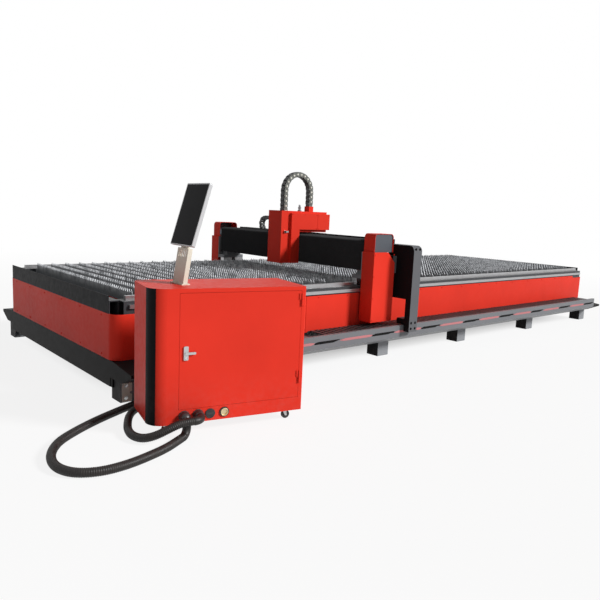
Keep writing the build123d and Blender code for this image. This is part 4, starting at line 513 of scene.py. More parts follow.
def moulded(name, colour, roughness=0.5, scuffed=SCUFF_GREY):
    """Grained nylon, scuffed pale in patches."""
    material, tree, shader = new_material(name)
    place = object_place(tree)
    scuff = span(tree, noise(tree, place, 40.0, 5.0), 0.5, 0.75, 0.0, 0.3)
    coat(tree, shader, mix_colour(tree, scuff, colour, scuffed),
         span(tree, scuff, 0.0, 0.3, roughness, roughness + 0.15))
    bump(tree, shader, noise(tree, place, 700.0, 1.0), 0.0003, 0.4)
    return material


def link_plates(pitch, width, height, plate):
    """Side plates of one link along x: an outer lobe over the pin ahead, an inner one behind."""
    work = bmesh.new()
    radius, lap = 0.44 * height, 0.02 * pitch
    for way, layer in ((1, 0), (-1, 1)):
        outline = [(-way * lap, -radius)]
        for step in range(9):
            angle = math.radians(-90 + 22.5 * step)
            outline.append((way * (pitch / 2 + radius * math.cos(angle)), radius * math.sin(angle)))
        outline.append((-way * lap, radius))
        for side in (-1, 1):
            outer = side * (width / 2 - layer * plate)
            prism(work, outline, outer - side * plate, outer, 1)
    return mesh_from("plates", work)


def link_bars(pitch, width, height, plate, cover):
    """Crossbars over and under one link, as a share of its pitch, with chamfered edges."""
    work = bmesh.new()
    reach, thick = cover * pitch / 2, 0.10 * height
    for side in (-1, 1):
        top, under = side * height / 2, side * (height / 2 - thick)
        outline = [(-reach, under), (-reach, top - side * thick / 2), (-reach + thick / 2, top),
                   (reach - thick / 2, top), (reach, top - side * thick / 2), (reach, under)]
        prism(work, outline, -(width / 2 - 2 * plate), width / 2 - 2 * plate, 1)
    return mesh_from("bars", work)


def link_pins(pitch, width, height):
    """Pin heads on both sides of the pivot ahead."""
    work = bmesh.new()
    for side in (-1, 1):
        circle = [(pitch / 2 + 0.17 * height * math.cos(math.radians(36 * step)),
                   0.17 * height * math.sin(math.radians(36 * step))) for step in range(10)]
        prism(work, circle, side * width / 2, side * (width / 2 + PIN_PROUD), 1)
    return mesh_from("pins", work)


def keep_on(tree, geometry, label, kind, domain, value):
    """Keeps a value on a geometry under a label, and reads it again further on."""
    kept = add(tree, "GeometryNodeStoreNamedAttribute", {"Geometry": geometry, "Name": label, "Value": value},
               data_type=kind, domain=domain)
    read = add(tree, "GeometryNodeInputNamedAttribute", {"Name": label}, data_type=kind)
    return kept["Geometry"], read["Attribute"]


def build_link_tree():
    """A link on the middle of each edge of a path, turned along it, with a given side direction."""
    tree, given = new_tree("links on a path", [("Link", "Object"), ("Side", "Vector")])
    ends = add(tree, "GeometryNodeInputMeshEdgeVertices", {})
    way = add(tree, "ShaderNodeVectorMath", {0: ends["Position 2"], 1: ends["Position 1"]},
              operation="SUBTRACT")
    path, direction = keep_on(tree, given["Geometry"], "along", "FLOAT_VECTOR", "EDGE", way["Vector"])
    middles = add(tree, "GeometryNodeMeshToPoints", {"Mesh": path}, mode="EDGES")["Points"]
    turn = add(tree, "FunctionNodeAxesToRotation",
               {"Primary Axis": direction, "Secondary Axis": given["Side"]},
               primary_axis="X", secondary_axis="Y")["Rotation"]
    link = add(tree, "GeometryNodeObjectInfo", {"Object": given["Link"]})["Geometry"]
    placing = {"Points": middles, "Instance": link, "Rotation": turn}
    copies = add(tree, "GeometryNodeInstanceOnPoints", placing)
    bare = add(tree, "GeometryNodeRemoveAttribute", {"Geometry": copies["Instances"], "Name": "along"})
    return end_tree(tree, given, bare["Geometry"])


link_tree = build_link_tree()


def chain_piece(name, pivots, side, link_mesh, material):
    """The plain mesh of one kind of link part along a chain's pivots."""
    path = bpy.data.meshes.new(name + "_path")
    path.from_pydata([tuple(pivot) for pivot in pivots], [(n, n + 1) for n in range(len(pivots) - 1)], [])
    link = object_from(name + "_link", link_mesh)
    made = grown(name, path, link_tree, {"Link": link, "Side": side, "Material": material})
    bpy.data.objects.remove(link)
    return made


black_nylon = moulded("black chain nylon", (0.014, 0.014, 0.015, 1), 0.46)
dark_nylon = moulded("dark grey chain nylon", (0.034, 0.035, 0.037, 1), 0.48)
long_step = (LONG_CHAIN_END - LONG_CHAIN_START) / LONG_CHAIN_LINKS
long_pivots = [(LONG_CHAIN_START + long_step * number, LONG_CHAIN_Y, LONG_CHAIN_Z)
               for number in range(LONG_CHAIN_LINKS + 1)]
long_sizes = (long_step, LONG_CHAIN_WIDTH, LONG_CHAIN_HEIGHT, LONG_CHAIN_PLATE)
for name, mesh, material in (("long_chain_plates", link_plates(*long_sizes), black_nylon),
                             ("long_chain_bars", link_bars(*long_sizes, LONG_BAR_SHARE), dark_nylon)):
    piece = chain_piece(name, long_pivots, (0, 1, 0), mesh, material)
    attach(piece, "bed")
    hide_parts("x_chain_run")

# Gantry. A milled beam on two saddles, with folded red covers over its legs, lidded by
# red caps with a slate grey plate, and a grey upright that brings the services up.
milled_alloy = bare_metal("milled aluminium", (0.60, 0.60, 0.61, 1), 0.36, 0.15, (300.0, 300.0, 2.0))
dress(milled_alloy, "gantry_beam", "carriage_plate", "z_module")
dress(soft_black, "x_motors", "y_motor")
dress(red_paint, "leg_covers", "leg_caps")
cap_grey = paint("slate grey paint", (0.085, 0.095, 0.110, 1), 0.42, 0.10)
dress(cap_grey, "cap_plates")
dress(paint("grey saddle paint", (0.19, 0.195, 0.205, 1), 0.42, 0.1), "saddles")
RISER_GREY = (0.130, 0.133, 0.142, 1)
# The upright and its trough: their faces along the bed are painted black as shade.
riser_paint_with_painted_shade = paint("grey upright paint with painted shade on its ends", RISER_GREY, 0.44, 0.03, 0.2, 0.04)
paint_end_shade(riser_paint_with_painted_shade, RISER_GREY)
dress(riser_paint_with_painted_shade, "riser", "y_chain_trough")
LEG_OUTER_Y = 1.510
LEG_SCREW_X = (-1.226, -0.938)
LEG_SCREW_Z = (0.425, 0.650, 0.875, 1.095)
RISER_FACE_Y = -1.710
RISER_BOLT_X, RISER_BOLT_ROWS = (-0.832, -0.767), (0.335, 0.395, 1.165)
BOLT_RADIUS = 0.008
BOLT_PROFILE = [(1.75, 0.0, 0), (1.75, 0.22, 0), (1.02, 0.24, 1), (1.02, 0.80, 1), (0.86, 0.95, 0)]
for side, word in SIDES:
    spots = [(x, side * LEG_OUTER_Y, z) for x in LEG_SCREW_X for z in LEG_SCREW_Z]
    head = turned_head("screw", SCREW_PROFILE, SCREW_RADIUS, (0, side, 0))
    set_heads("leg_screws_" + word, spots, head, red_paint, "gantry")
set_heads("riser_bolts", [(x, RISER_FACE_Y, z) for x in RISER_BOLT_X for z in RISER_BOLT_ROWS],
          turned_head("bolt", BOLT_PROFILE, BOLT_RADIUS, (0, -1, 0)), soft_black, "gantry")

# Bellows over the beam. Coated cloth folded over stiff frames, sewn to plates on the
# carriage and the legs, so that one side closes while the other opens.
BELLOWS_X = (-1.206, -0.934)
BELLOWS_Z = (0.920, 1.241)
BELLOWS_CORNER = 0.026
PLEAT_DEPTH = 0.016
PLEAT_PITCH = 0.030
PLEAT_SHAPE = (0.0, 0.5, 1.0, 0.5)
CLOTH_THICKNESS = 0.003
NEAR_BELLOWS_Y, FAR_BELLOWS_Y = (-1.330, -0.265), (-0.027, 1.330)
CLOTH_DARK, CLOTH_PALE = (0.006, 0.006, 0.007, 1), (0.014, 0.014, 0.015, 1)


def bellows_ring(inset, wall):
    front, back = BELLOWS_X[0] + inset + wall, BELLOWS_X[1] - inset - wall
    top = BELLOWS_Z[1] - inset - wall
    ring = [(front, BELLOWS_Z[0])]
    for centre_x, turn in ((front + BELLOWS_CORNER, 180), (back - BELLOWS_CORNER, 90)):
        for step in range(5):
            angle = math.radians(turn - 22.5 * step)
            rise = BELLOWS_CORNER * (math.sin(angle) - 1)
            ring.append((centre_x + BELLOWS_CORNER * math.cos(angle), top + rise))
    return ring + [(back, BELLOWS_Z[0])]


def bellows_mesh(name, low, high):
    work = bmesh.new()
    folds = 4 * round((high - low) / PLEAT_PITCH)
    rows = []
    for number in range(folds + 1):
        y = low + (high - low) * number / folds
        inset = PLEAT_DEPTH * PLEAT_SHAPE[number % 4]
        outer = [work.verts.new((x, y, z)) for x, z in bellows_ring(inset, 0.0)]
        inner = [work.verts.new((x, y, z)) for x, z in reversed(bellows_ring(inset, CLOTH_THICKNESS))]
        rows.append(outer + inner)
    size = len(rows[0])
    for before, after in zip(rows, rows[1:]):
        for number in range(size):
            follow = (number + 1) % size
            work.faces.new((before[number], after[number], after[follow], before[follow]))
    for ends in (rows[0], rows[-1]):
        for number in range(size // 2 - 1):
            work.faces.new((ends[number], ends[number + 1], ends[size - 2 - number], ends[size - 1 - number]))
    bmesh.ops.recalc_face_normals(work, faces=work.faces)
    return mesh_from(name, work)


cloth, cloth_tree, cloth_shader = new_material("coated bellows cloth")
cloth_place = object_place(cloth_tree)
cloth_tone = mix_colour(cloth_tree, noise(cloth_tree, cloth_place, 7.0, 5.0), CLOTH_DARK, CLOTH_PALE)
cloth_rough = span(cloth_tree, noise(cloth_tree, cloth_place, 60.0), 0.3, 0.7, 0.5, 0.68)
coat(cloth_tree, cloth_shader, cloth_tone, cloth_rough)
cloth_shader.inputs["Specular IOR Level"].default_value = 0.18
bump(cloth_tree, cloth_shader, noise(cloth_tree, cloth_place, 900.0, 1.0), 0.0004, 0.4)
bellows_near = object_from("bellows_near", bellows_mesh("bellows_near", *NEAR_BELLOWS_Y))
bellows_far = object_from("bellows_far", bellows_mesh("bellows_far", *FAR_BELLOWS_Y))
for piece in (bellows_near, bellows_far):
    piece.data.materials.append(cloth)
    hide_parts("bellows")
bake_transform(bellows_near)
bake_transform(bellows_far)

# Cross drag chain. A short chain lies in a trough behind the beam, loops up and leads
# back to the carriage, so it rolls at half the carriage's speed.
CROSS_X = -0.8895
CROSS_WIDTH, CROSS_HEIGHT, CROSS_PLATE = 0.065, 0.050, 0.005
CROSS_BAR_SHARE = 0.62
RUN_START, RUN_END, RUN_Z, RUN_LINKS = -0.400, 1.235, 1.2303, 33
LEAD_START, LEAD_END, LEAD_Z, LEAD_LINKS = -0.027, 0.760, 1.4003, 16
LOOP_Y, LOOP_Z, LOOP_RADIUS = 0.760, 1.3153, 0.085
CROSS_LOOP_TURNS = (-62, -24, 14, 52, 90)
cross_step = (RUN_END - RUN_START) / RUN_LINKS
lead_step = (LEAD_END - LEAD_START) / LEAD_LINKS
cross_paths = {
    "run": [(CROSS_X, RUN_START + cross_step * number, RUN_Z) for number in range(RUN_LINKS + 1)],
    "loop": [(CROSS_X, LOOP_Y + LOOP_RADIUS * math.cos(math.radians(turn)),
              LOOP_Z + LOOP_RADIUS * math.sin(math.radians(turn))) for turn in CROSS_LOOP_TURNS],
    "lead": [(CROSS_X, LEAD_END - lead_step * number, LEAD_Z) for number in range(LEAD_LINKS + 1)],
}
grey_nylon = moulded("mid grey chain nylon", (0.050, 0.052, 0.052, 1))
for stretch, pivots in cross_paths.items():
    link_sizes = (cross_step, CROSS_WIDTH, CROSS_HEIGHT, CROSS_PLATE)
    for part, mesh, material in (("plates", link_plates(*link_sizes), dark_nylon),
                                 ("bars", link_bars(*link_sizes, CROSS_BAR_SHARE), grey_nylon)):
        piece = chain_piece("cross_" + stretch + "_" + part, pivots, (1, 0, 0), mesh, material)
        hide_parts("y_chain_" + stretch)
        if stretch == "lead":
            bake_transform(piece)
        else:
            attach(piece, {"run": "gantry", "loop": "chain_loop"}[stretch])

# Carriage housing. A folded red hood over the lifting unit with a screwed side cover,
# a quarter-turn latch, and a hose fitting beside the sleeve where the head chain enters.
dress(red_paint, "z_housing", "housing_side_cover")
COVER_FACE_Y = -0.299
COVER_SCREW_RADIUS = 0.007
COVER_SPOTS = [
    (-1.318, 0.918), (-1.220, 0.918), (-1.318, 1.190), (-1.220, 1.190), (-1.318, 1.462), (-1.130, 1.462),
    (-0.945, 1.462), (-0.945, 1.302), (-0.915, 1.303), (-0.751, 1.303), (-0.915, 1.462), (-0.751, 1.462),
]
set_heads("cover_screws", [(x, COVER_FACE_Y, z) for x, z in COVER_SPOTS],
          turned_head("screw", SCREW_PROFILE, COVER_SCREW_RADIUS, (0, -1, 0)), red_paint,
          "carriage")
bright_steel = bare_metal("bright steel", (0.72, 0.72, 0.73, 1), 0.22, 0.08, (90.0, 90.0, 90.0))
dress(bright_steel, "housing_latch")
FITTING_PLACE, FITTING_RADIUS = (-1.095, -0.150, 1.500), 0.0145
FITTING_PROFILE = [(1.7, 0.0, 1), (1.7, 0.9, 1), (1.0, 1.0, 0), (1.0, 1.9, 0), (1.35, 2.0, 1), (1.35, 3.3, 1),
                   (0.85, 3.5, 0), (0.85, 4.3, 0), (0.95, 4.4, 0), (0.70, 5.2, 0)]
dull_nickel = bare_metal("dull nickel", (0.24, 0.24, 0.25, 1), 0.34, 0.2, (90.0, 90.0, 90.0))
set_heads("hose_fitting", [FITTING_PLACE], turned_head("fitting", FITTING_PROFILE, FITTING_RADIUS, (0, 0, 1)),
          dull_nickel, "carriage")
KNOB_PLACE, KNOB_RADIUS = (-1.405, -0.281, 1.262), 0.0105
KNOB_PROFILE = [(0.8, 0.0, 0), (0.8, 0.35, 0), (1.0, 0.45, 0), (1.0, 0.85, 0), (0.8, 1.0, 0)]
set_heads("latch_knob", [KNOB_PLACE], turned_head("knob", KNOB_PROFILE, KNOB_RADIUS, (0, -1, 0)),
          black_nylon, "latch")

# Head drag chain. A closed chain arches from the sleeve over to the cutting head, with
# dark lids, grey-green side plates and pale pin heads.
HEAD_CHAIN_Y = -0.146
HEAD_LEG_X, SLEEVE_LEG_X = -1.331, -0.945
ARCH_X, ARCH_Z, ARCH_RADIUS = -1.138, 1.730, 0.193
HEAD_LEG_BOTTOM, SLEEVE_LEG_BOTTOM = 1.330, 1.560
HEAD_CHAIN_LINKS = 21
HEAD_CHAIN_WIDTH, HEAD_CHAIN_HEIGHT, HEAD_CHAIN_PLATE = 0.075, 0.060, 0.006
HEAD_LID_SHARE = 0.92


def head_chain_place(run):
    """Point of the chain's middle line at a length along it from the sleeve."""
    rise = ARCH_Z - SLEEVE_LEG_BOTTOM
    if run < rise:
        return (SLEEVE_LEG_X, HEAD_CHAIN_Y, SLEEVE_LEG_BOTTOM + run)
    turn = (run - rise) / ARCH_RADIUS
    if turn < math.pi:
        return (ARCH_X + ARCH_RADIUS * math.cos(turn), HEAD_CHAIN_Y, ARCH_Z + ARCH_RADIUS * math.sin(turn))
    return (HEAD_LEG_X, HEAD_CHAIN_Y, ARCH_Z - (run - rise - math.pi * ARCH_RADIUS))


head_length = 2 * ARCH_Z - SLEEVE_LEG_BOTTOM - HEAD_LEG_BOTTOM + math.pi * ARCH_RADIUS
head_step = head_length / HEAD_CHAIN_LINKS
head_pivots = [head_chain_place(head_step * number) for number in range(HEAD_CHAIN_LINKS + 1)]
plate_nylon = moulded("grey-green chain nylon", (0.115, 0.122, 0.108, 1), 0.5, (0.24, 0.25, 0.23, 1))
pin_nylon = moulded("pale pin nylon", (0.72, 0.71, 0.62, 1), 0.4, (0.55, 0.54, 0.48, 1))
head_sizes = (head_step, HEAD_CHAIN_WIDTH, HEAD_CHAIN_HEIGHT)
for name, mesh, material in (
        ("head_chain_plates", link_plates(*head_sizes, HEAD_CHAIN_PLATE), plate_nylon),
        ("head_chain_lids", link_bars(*head_sizes, HEAD_CHAIN_PLATE, HEAD_LID_SHARE), black_nylon),
        ("head_chain_pins", link_pins(*head_sizes), pin_nylon)):
    piece = chain_piece(name, head_pivots, (0, 1, 0), mesh, material)
    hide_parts("z_chain")
    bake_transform(piece)

# Cutting head. An anodised body is screwed to the lifting unit's slide, and a turned
# copper nozzle is screwed into its cone.
head_alloy = bare_metal("anodised head alloy", (0.50, 0.51, 0.53, 1), 0.30, 0.1, (200.0, 200.0, 200.0))
dress(head_alloy, "cutting_head")
COPPER, COPPER_STAIN = (0.72, 0.38, 0.22, 1), (0.3, 0.13, 0.07, 1)
dress(bare_metal("copper nozzle", COPPER, 0.25, 0.2, (80.0, 80.0, 500.0), COPPER_STAIN), "nozzle")

# Laser cabinet. A red welded shell with a lift-off door and a black band round one
# end, holding the source and the drives. The door's lock is a zinc plate with a lever.
CABINET_PLACE = Matrix.Translation((-4.055, -2.210, 0)) @ Matrix.Rotation(math.radians(-13.5), 4, "Z")
dress(red_paint, "cabinet_shell", "cabinet_door")
dress(soft_black, "cabinet_band")
source_grey = paint("pale grey equipment paint", (0.45, 0.46, 0.46, 1), 0.45, 0.2)
dress(source_grey, "laser_source", "control_plate")
dress(zinc, "door_lever")
LOCK_U, LOCK_Z = 0.234, 0.557
LOCK_HALF_WIDTH, LOCK_HALF_HEIGHT, LOCK_CORNER = 0.0156, 0.0466, 0.006
LOCK_BACK, LOCK_FRONT = -0.0005, -0.0083
BARREL_Z, BARREL_RADIUS = 0.527, 0.009
lock_outline = []
for turn, across, up in ((0, 1, 1), (90, -1, 1), (180, -1, -1), (270, 1, -1)):
    for step in range(5):
        angle = math.radians(turn + 22.5 * step)
        u = LOCK_U + across * (LOCK_HALF_WIDTH - LOCK_CORNER) + LOCK_CORNER * math.cos(angle)
        z = LOCK_Z + up * (LOCK_HALF_HEIGHT - LOCK_CORNER) + LOCK_CORNER * math.sin(angle)
        lock_outline.append((u, z))
lock_work = bmesh.new()
prism(lock_work, lock_outline, LOCK_FRONT, LOCK_BACK, 1)
lock_mesh = mesh_from("lock_plate", lock_work)
lock_mesh.transform(CABINET_PLACE)
put_on("lock_plate", lock_mesh, zinc, "door")
BARREL_PROFILE = [(1.0, 0.0, 0), (1.0, 0.35, 0), (0.85, 0.5, 0), (0.7, 0.5, 0), (0.66, 0.36, 0),
                  (0.30, 0.36, 0), (0.24, 0.1, 0)]
cabinet_front = CABINET_PLACE.to_3x3() @ Vector((0, -1, 0))
set_heads("lock_barrel", [CABINET_PLACE @ Vector((LOCK_U, LOCK_FRONT, BARREL_Z))],
          turned_head("barrel", BARREL_PROFILE, BARREL_RADIUS, cabinet_front), bright_steel, "door")

# Ports in the cabinet's front. Black collars: two with rubber boots over the hoses, a
# blind plug and a turned brass socket for water.
dress(black_nylon, "hose_ports")
PORT_Z = 0.133
PORT_FACE = -0.0005
HOSE_PORTS, WATER_PORT = (0.229, 0.324), 0.507
BOOT_RADIUS, SOCKET_RADIUS = 0.037, 0.0275
BRASS, BRASS_STAIN = (0.70, 0.58, 0.36, 1), (0.3, 0.22, 0.12, 1)
BOOT_PROFILE = [(1.06, 0.0, 0), (1.06, 0.14, 0), (0.99, 0.22, 0), (1.0, 0.5, 0), (0.96, 0.85, 0),
                (0.84, 1.2, 0), (0.62, 1.48, 0), (0.34, 1.64, 0)]
boot_rubber = moulded("purple-brown boot rubber", (0.030, 0.021, 0.022, 1), 0.40, (0.10, 0.08, 0.08, 1))
set_heads("hose_boots", [CABINET_PLACE @ Vector((u, PORT_FACE, PORT_Z)) for u in HOSE_PORTS],
          turned_head("boot", BOOT_PROFILE, BOOT_RADIUS, cabinet_front), boot_rubber, "bed")
SOCKET_PROFILE = [(1.0, 0.0, 0), (1.0, 0.36, 0), (0.93, 0.42, 0), (0.80, 0.42, 0), (0.76, 0.30, 0),
                  (0.74, 0.04, 0)]
brass = bare_metal("turned brass", BRASS, 0.3, 0.2, (120.0, 120.0, 120.0), BRASS_STAIN)
set_heads("water_socket_ring", [CABINET_PLACE @ Vector((WATER_PORT, PORT_FACE, PORT_Z))],
          turned_head("socket", SOCKET_PROFILE, SOCKET_RADIUS, cabinet_front), brass, "bed")

# Casters. Pressed and plated forks with brake pedals swivel on plates under the cabinet
# and run on black nylon wheels.
dress(head_alloy, "caster_plates")
wheel_nylon = moulded("black wheel nylon", (0.018, 0.017, 0.017, 1), 0.55)
for number in ("1", "2", "3", "4"):
    dress(zinc, "caster_fork_" + number)
    dress(wheel_nylon, "caster_wheel_" + number)

# Hoses. Two ribbed rubber conduits leave fittings on the cabinet, lie on the floor
# and go under the bed's near end to the inlet plate.
HOSE_DIAMETER = 0.0557
LOOP_ROUTE = [
    (-4.07, -2.455), (-4.20, -2.50), (-4.35, -2.54), (-4.51, -2.545), (-4.64, -2.48), (-4.695, -2.345),
    (-4.665, -2.17), (-4.565, -2.0), (-4.415, -1.88), (-4.235, -1.765), (-4.05, -1.67), (-3.88, -1.59),
    (-3.72, -1.50), (-3.612, -1.405), (-3.57, -1.322), (-3.57, -1.25),
]
CORNER_ROUTE = [
    (-3.985, -2.342, 0.100), (-4.068, -2.305, 0.058), (-4.12, -2.24, 0.034), (-4.142, -2.145, 0.029),
    (-4.118, -2.03, 0.029), (-4.06, -1.905, 0.029), (-3.995, -1.79, 0.029), (-3.915, -1.697, 0.029),
    (-3.80, -1.625, 0.029), (-3.66, -1.545, 0.029), (-3.548, -1.44, 0.029), (-3.49, -1.33, 0.029),
    (-3.49, -1.25, 0.029),
]
FLOOR_HOSE_Z = 0.029
LOOP_ELBOW, LOOP_ELBOW_REACH = Vector((0.229, -0.064, 0.029)), 0.052
CORNER_START = Vector((0.264, -0.112, 0.133))
FIRST_RUN = 0.08
LOOP_LENGTH, CORNER_LENGTH = 2.58, 1.60
RIB_PITCH, RIB_DEPTH = 0.012, 0.0028
RUBBER_BLACK, RUBBER_DUSTY = (0.010, 0.008, 0.0075, 1), (0.060, 0.050, 0.044, 1)


def build_rib_tree():
    """A ribbed tube along a curve: a round section swept on, then drawn in between ribs at an even pitch."""
    tree, given = new_tree("ribbed hose", [("Radius", "Float"), ("Pitch", "Float"), ("Depth", "Float")])
    spacing = math_node(tree, "MULTIPLY", given["Pitch"], 0.25)
    even = add(tree, "GeometryNodeResampleCurve", {"Curve": given["Geometry"], "Length": spacing},
               mode="LENGTH")
    run = add(tree, "GeometryNodeSplineParameter", {})["Length"]
    curve, run_there = keep_on(tree, even["Curve"], "run", "FLOAT", "POINT", run)
    section = {"Resolution": 20, "Radius": given["Radius"]}
    circle = add(tree, "GeometryNodeCurvePrimitiveCircle", section)["Curve"]
    sweep = add(tree, "GeometryNodeCurveToMesh", {"Curve": curve, "Profile Curve": circle, "Fill Caps": True})
    turns = math_node(tree, "DIVIDE", run_there, given["Pitch"])
    wave = math_node(tree, "COSINE", math_node(tree, "MULTIPLY", turns, 2 * math.pi))
    sink = math_node(tree, "MULTIPLY", math_node(tree, "SUBTRACT", wave, 1.0), 0.5)
    sink = math_node(tree, "MULTIPLY", sink, given["Depth"])
    normal = add(tree, "GeometryNodeInputNormal", {})["Normal"]
    inward = add(tree, "ShaderNodeVectorMath", {0: normal, "Scale": sink}, operation="SCALE")["Vector"]
    drawn_in = add(tree, "GeometryNodeSetPosition", {"Geometry": sweep["Mesh"], "Offset": inward})["Geometry"]
    smooth = add(tree, "GeometryNodeSetShadeSmooth", {"Geometry": drawn_in})["Geometry"]
    bare = add(tree, "GeometryNodeRemoveAttribute", {"Geometry": smooth, "Name": "run"})["Geometry"]
    return end_tree(tree, given, bare)


rib_tree = build_rib_tree()


def hose_curve(name, points):
    curve = bpy.data.curves.new(name, "CURVE")
    curve.dimensions = "3D"
    curve.resolution_u = 16
    spline = curve.splines.new("NURBS")
    spline.points.add(len(points) - 1)
    for point, place in zip(spline.points, points):
        point.co = (*place, 1)
    spline.order_u = 3
    spline.use_endpoint_u = True
    return curve


rubber, rubber_tree, rubber_shader = new_material("ribbed hose rubber")
rubber_place = object_place(rubber_tree)
rubber_dust = span(rubber_tree, noise(rubber_tree, rubber_place, 22.0, 5.0), 0.45, 0.8, 0.0, 0.35)
rubber_tone = mix_colour(rubber_tree, rubber_dust, RUBBER_BLACK, RUBBER_DUSTY)
rubber_rough = span(rubber_tree, rubber_dust, 0.0, 0.35, 0.42, 0.7)
coat(rubber_tree, rubber_shader, rubber_tone, rubber_rough)
rubber_shader.inputs["Specular IOR Level"].default_value = 0.35
bump(rubber_tree, rubber_shader, noise(rubber_tree, rubber_place, 300.0, 2.0), 0.0006, 0.4)
elbow_turn = Vector((-1, -1, 0)).normalized()
loop_start = LOOP_ELBOW + elbow_turn * LOOP_ELBOW_REACH
loop_points = [CABINET_PLACE @ loop_start, CABINET_PLACE @ (loop_start + elbow_turn * FIRST_RUN)]
loop_points += [Vector((x, y, FLOOR_HOSE_Z)) for x, y in LOOP_ROUTE]
corner_points = [CABINET_PLACE @ CORNER_START, CABINET_PLACE @ (CORNER_START - Vector((FIRST_RUN, 0, 0)))]
corner_points += [Vector(place) for place in CORNER_ROUTE]
for name, points, length in (("hose_loop", loop_points, LOOP_LENGTH),
                             ("hose_corner", corner_points, CORNER_LENGTH)):
    route = object_from(name + "_route", hose_curve(name + "_route", points))
    line = bpy.data.meshes.new_from_object(route.evaluated_get(bpy.context.evaluated_depsgraph_get()))
    bpy.data.meshes.remove(line)
    piece = grown(name + "_tube", route.data, rib_tree, {
        "Radius": HOSE_DIAMETER / 2, "Pitch": RIB_PITCH, "Depth": RIB_DEPTH, "Material": rubber})
    bpy.data.objects.remove(route)
    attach(piece, "bed")
    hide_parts(name)
dress(rubber, "hose_elbows")

# Pedestal and screen. A folded column in warm white carries a slim touch screen
# in a bright frame on a friction hinge.
dress(paint("warm white paint", (0.72, 0.69, 0.58, 1), 0.40, 0.05), "pedestal")
GLASS_BLACK, GLASS_SMEARED = (0.004, 0.004, 0.005, 1), (0.012, 0.012, 0.014, 1)
dress(paint("satin silver screen case", (0.56, 0.56, 0.57, 1), 0.36, 0.03, 0.06, 0.5), "screen")
screen_face, face_tree, face_shader = new_material("dark touch glass")
face_place = object_place(face_tree)
smears = noise(face_tree, face_place, 18.0, 4.0)
face_tone = mix_colour(face_tree, smears, GLASS_BLACK, GLASS_SMEARED)
coat(face_tree, face_shader, face_tone, span(face_tree, smears, 0.35, 0.7, 0.05, 0.14))
face_shader.inputs["Specular IOR Level"].default_value = 0.03
dress(screen_face, "screen_glass")

# Floor, light and camera. A pale floor that fades to white, shaded under the bed, one
# broad key light from the cabinet's front, a weak fill, and the camera at the photograph's place.
FLOOR_HALF = 60
FLOOR_GREY = (0.86, 0.86, 0.86, 1)
FLOOR_WHITE_SHARE = 0.86
FLOOR_FADE = (5.5, 13.0)
UNDER_BED_SHADE = 0.70
UNDER_BED_X = (3.1, 3.9)
UNDER_BED_Y = (0.7, 1.3)
FILL_STRENGTH = 0.19
KEY_AIM = (-0.55, 0.72, -0.52)
KEY_ENERGY = 3.4
KEY_WIDTH = math.radians(12)
CAMERA_PLACE = Vector((-5.7825, -5.610, 1.500))
CAMERA_YAW, CAMERA_PITCH, CAMERA_ROLL = math.radians(48.93), math.radians(8.378), math.radians(-2.538)
CAMERA_LENS = 36.12


def seen_directly(tree):
    """One for rays from the camera, a mirror or glass, and nought for the rest."""
    rays = tree.nodes.new("ShaderNodeLightPath").outputs
    seen = math_node(tree, "ADD", rays["Is Camera Ray"], rays["Is Glossy Ray"], True)
    return math_node(tree, "ADD", seen, rays["Is Transmission Ray"], True)


def within(tree, place, reach):
    """One near the middle of an axis, falling to nought between two distances from it."""
    return span(tree, math_node(tree, "ABSOLUTE", place), *reach, 1.0, 0.0)


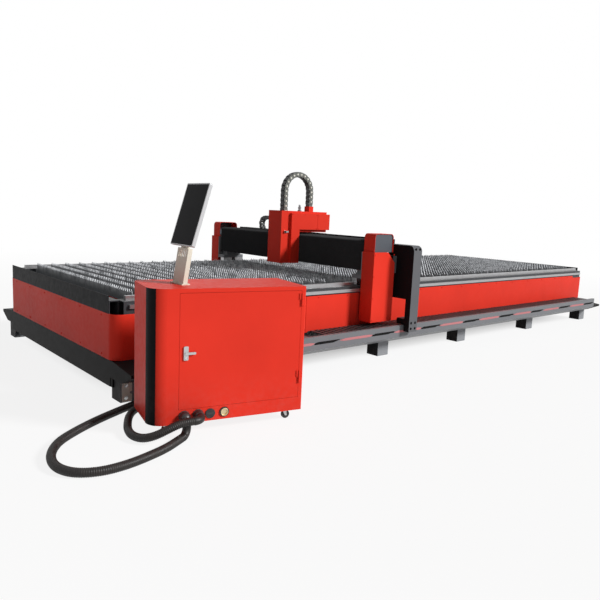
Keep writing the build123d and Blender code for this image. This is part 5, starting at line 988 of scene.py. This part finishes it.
floor_mesh = bpy.data.meshes.new("floor")
floor_corners = [(-FLOOR_HALF, -FLOOR_HALF, 0), (FLOOR_HALF, -FLOOR_HALF, 0), (FLOOR_HALF, FLOOR_HALF, 0),
                 (-FLOOR_HALF, FLOOR_HALF, 0)]
floor_mesh.from_pydata(floor_corners, [], [(0, 1, 2, 3)])
floor = object_from("floor", floor_mesh)
floor_material, floor_tree, floor_shader = new_material("pale floor")
floor_shader.inputs["Base Color"].default_value = FLOOR_GREY
floor_shader.inputs["Roughness"].default_value = 0.9
floor_shader.inputs["Specular IOR Level"].default_value = 0.0
floor_place = object_place(floor_tree)
floor_reach = add(floor_tree, "ShaderNodeVectorMath", {0: floor_place}, operation="LENGTH")
floor_share = span(floor_tree, floor_reach["Value"], *FLOOR_FADE, FLOOR_WHITE_SHARE, 1.0)
floor_axes = axes(floor_tree, floor_place)
under_bed = math_node(floor_tree, "MULTIPLY", within(floor_tree, floor_axes["X"], UNDER_BED_X),
                      within(floor_tree, floor_axes["Y"], UNDER_BED_Y))
under_bed = math_node(floor_tree, "MULTIPLY", under_bed, UNDER_BED_SHADE)
floor_share = math_node(floor_tree, "SUBTRACT", floor_share, under_bed)
floor_white = add(floor_tree, "ShaderNodeEmission", {})["Emission"]
floor_seen = math_node(floor_tree, "MULTIPLY", seen_directly(floor_tree), floor_share)
floor_mix = add(floor_tree, "ShaderNodeMixShader", {
    "Fac": floor_seen, 1: floor_shader.outputs["BSDF"], 2: floor_white})
floor_tree.links.new(floor_mix["Shader"], floor_tree.nodes["Material Output"].inputs["Surface"])
floor_mesh.materials.append(floor_material)

world = bpy.data.worlds.new("studio")
bpy.context.scene.world = world
world.use_nodes = True
sky = world.node_tree
backdrop = sky.nodes["Background"]
backdrop.inputs["Color"].default_value = (1, 1, 1, 1)
sky.links.new(span(sky, seen_directly(sky), 0.0, 1.0, FILL_STRENGTH, 1.0), backdrop.inputs["Strength"])
key = bpy.data.lights.new("key light", "SUN")
key.energy = KEY_ENERGY
key.angle = KEY_WIDTH
object_from("key light", key).rotation_euler = Vector(KEY_AIM).to_track_quat("-Z", "Y").to_euler()

level = math.cos(CAMERA_PITCH)
forward = Vector((level * math.cos(CAMERA_YAW), level * math.sin(CAMERA_YAW), -math.sin(CAMERA_PITCH)))
right = Vector((math.sin(CAMERA_YAW), -math.cos(CAMERA_YAW), 0))
down = forward.cross(right)
level_right = math.cos(CAMERA_ROLL) * right + math.sin(CAMERA_ROLL) * down
level_down = -math.sin(CAMERA_ROLL) * right + math.cos(CAMERA_ROLL) * down
camera_data = bpy.data.cameras.new("photo camera")
camera_data.sensor_width = 36.0
camera_data.lens = CAMERA_LENS
camera_data.clip_end = 200.0
camera = object_from("photo camera", camera_data)
turn = Matrix((level_right, -level_down, -forward)).transposed().to_4x4()
camera.matrix_world = Matrix.Translation(CAMERA_PLACE) @ turn
bpy.context.scene.camera = camera
bpy.context.scene.view_settings.view_transform = "Standard"
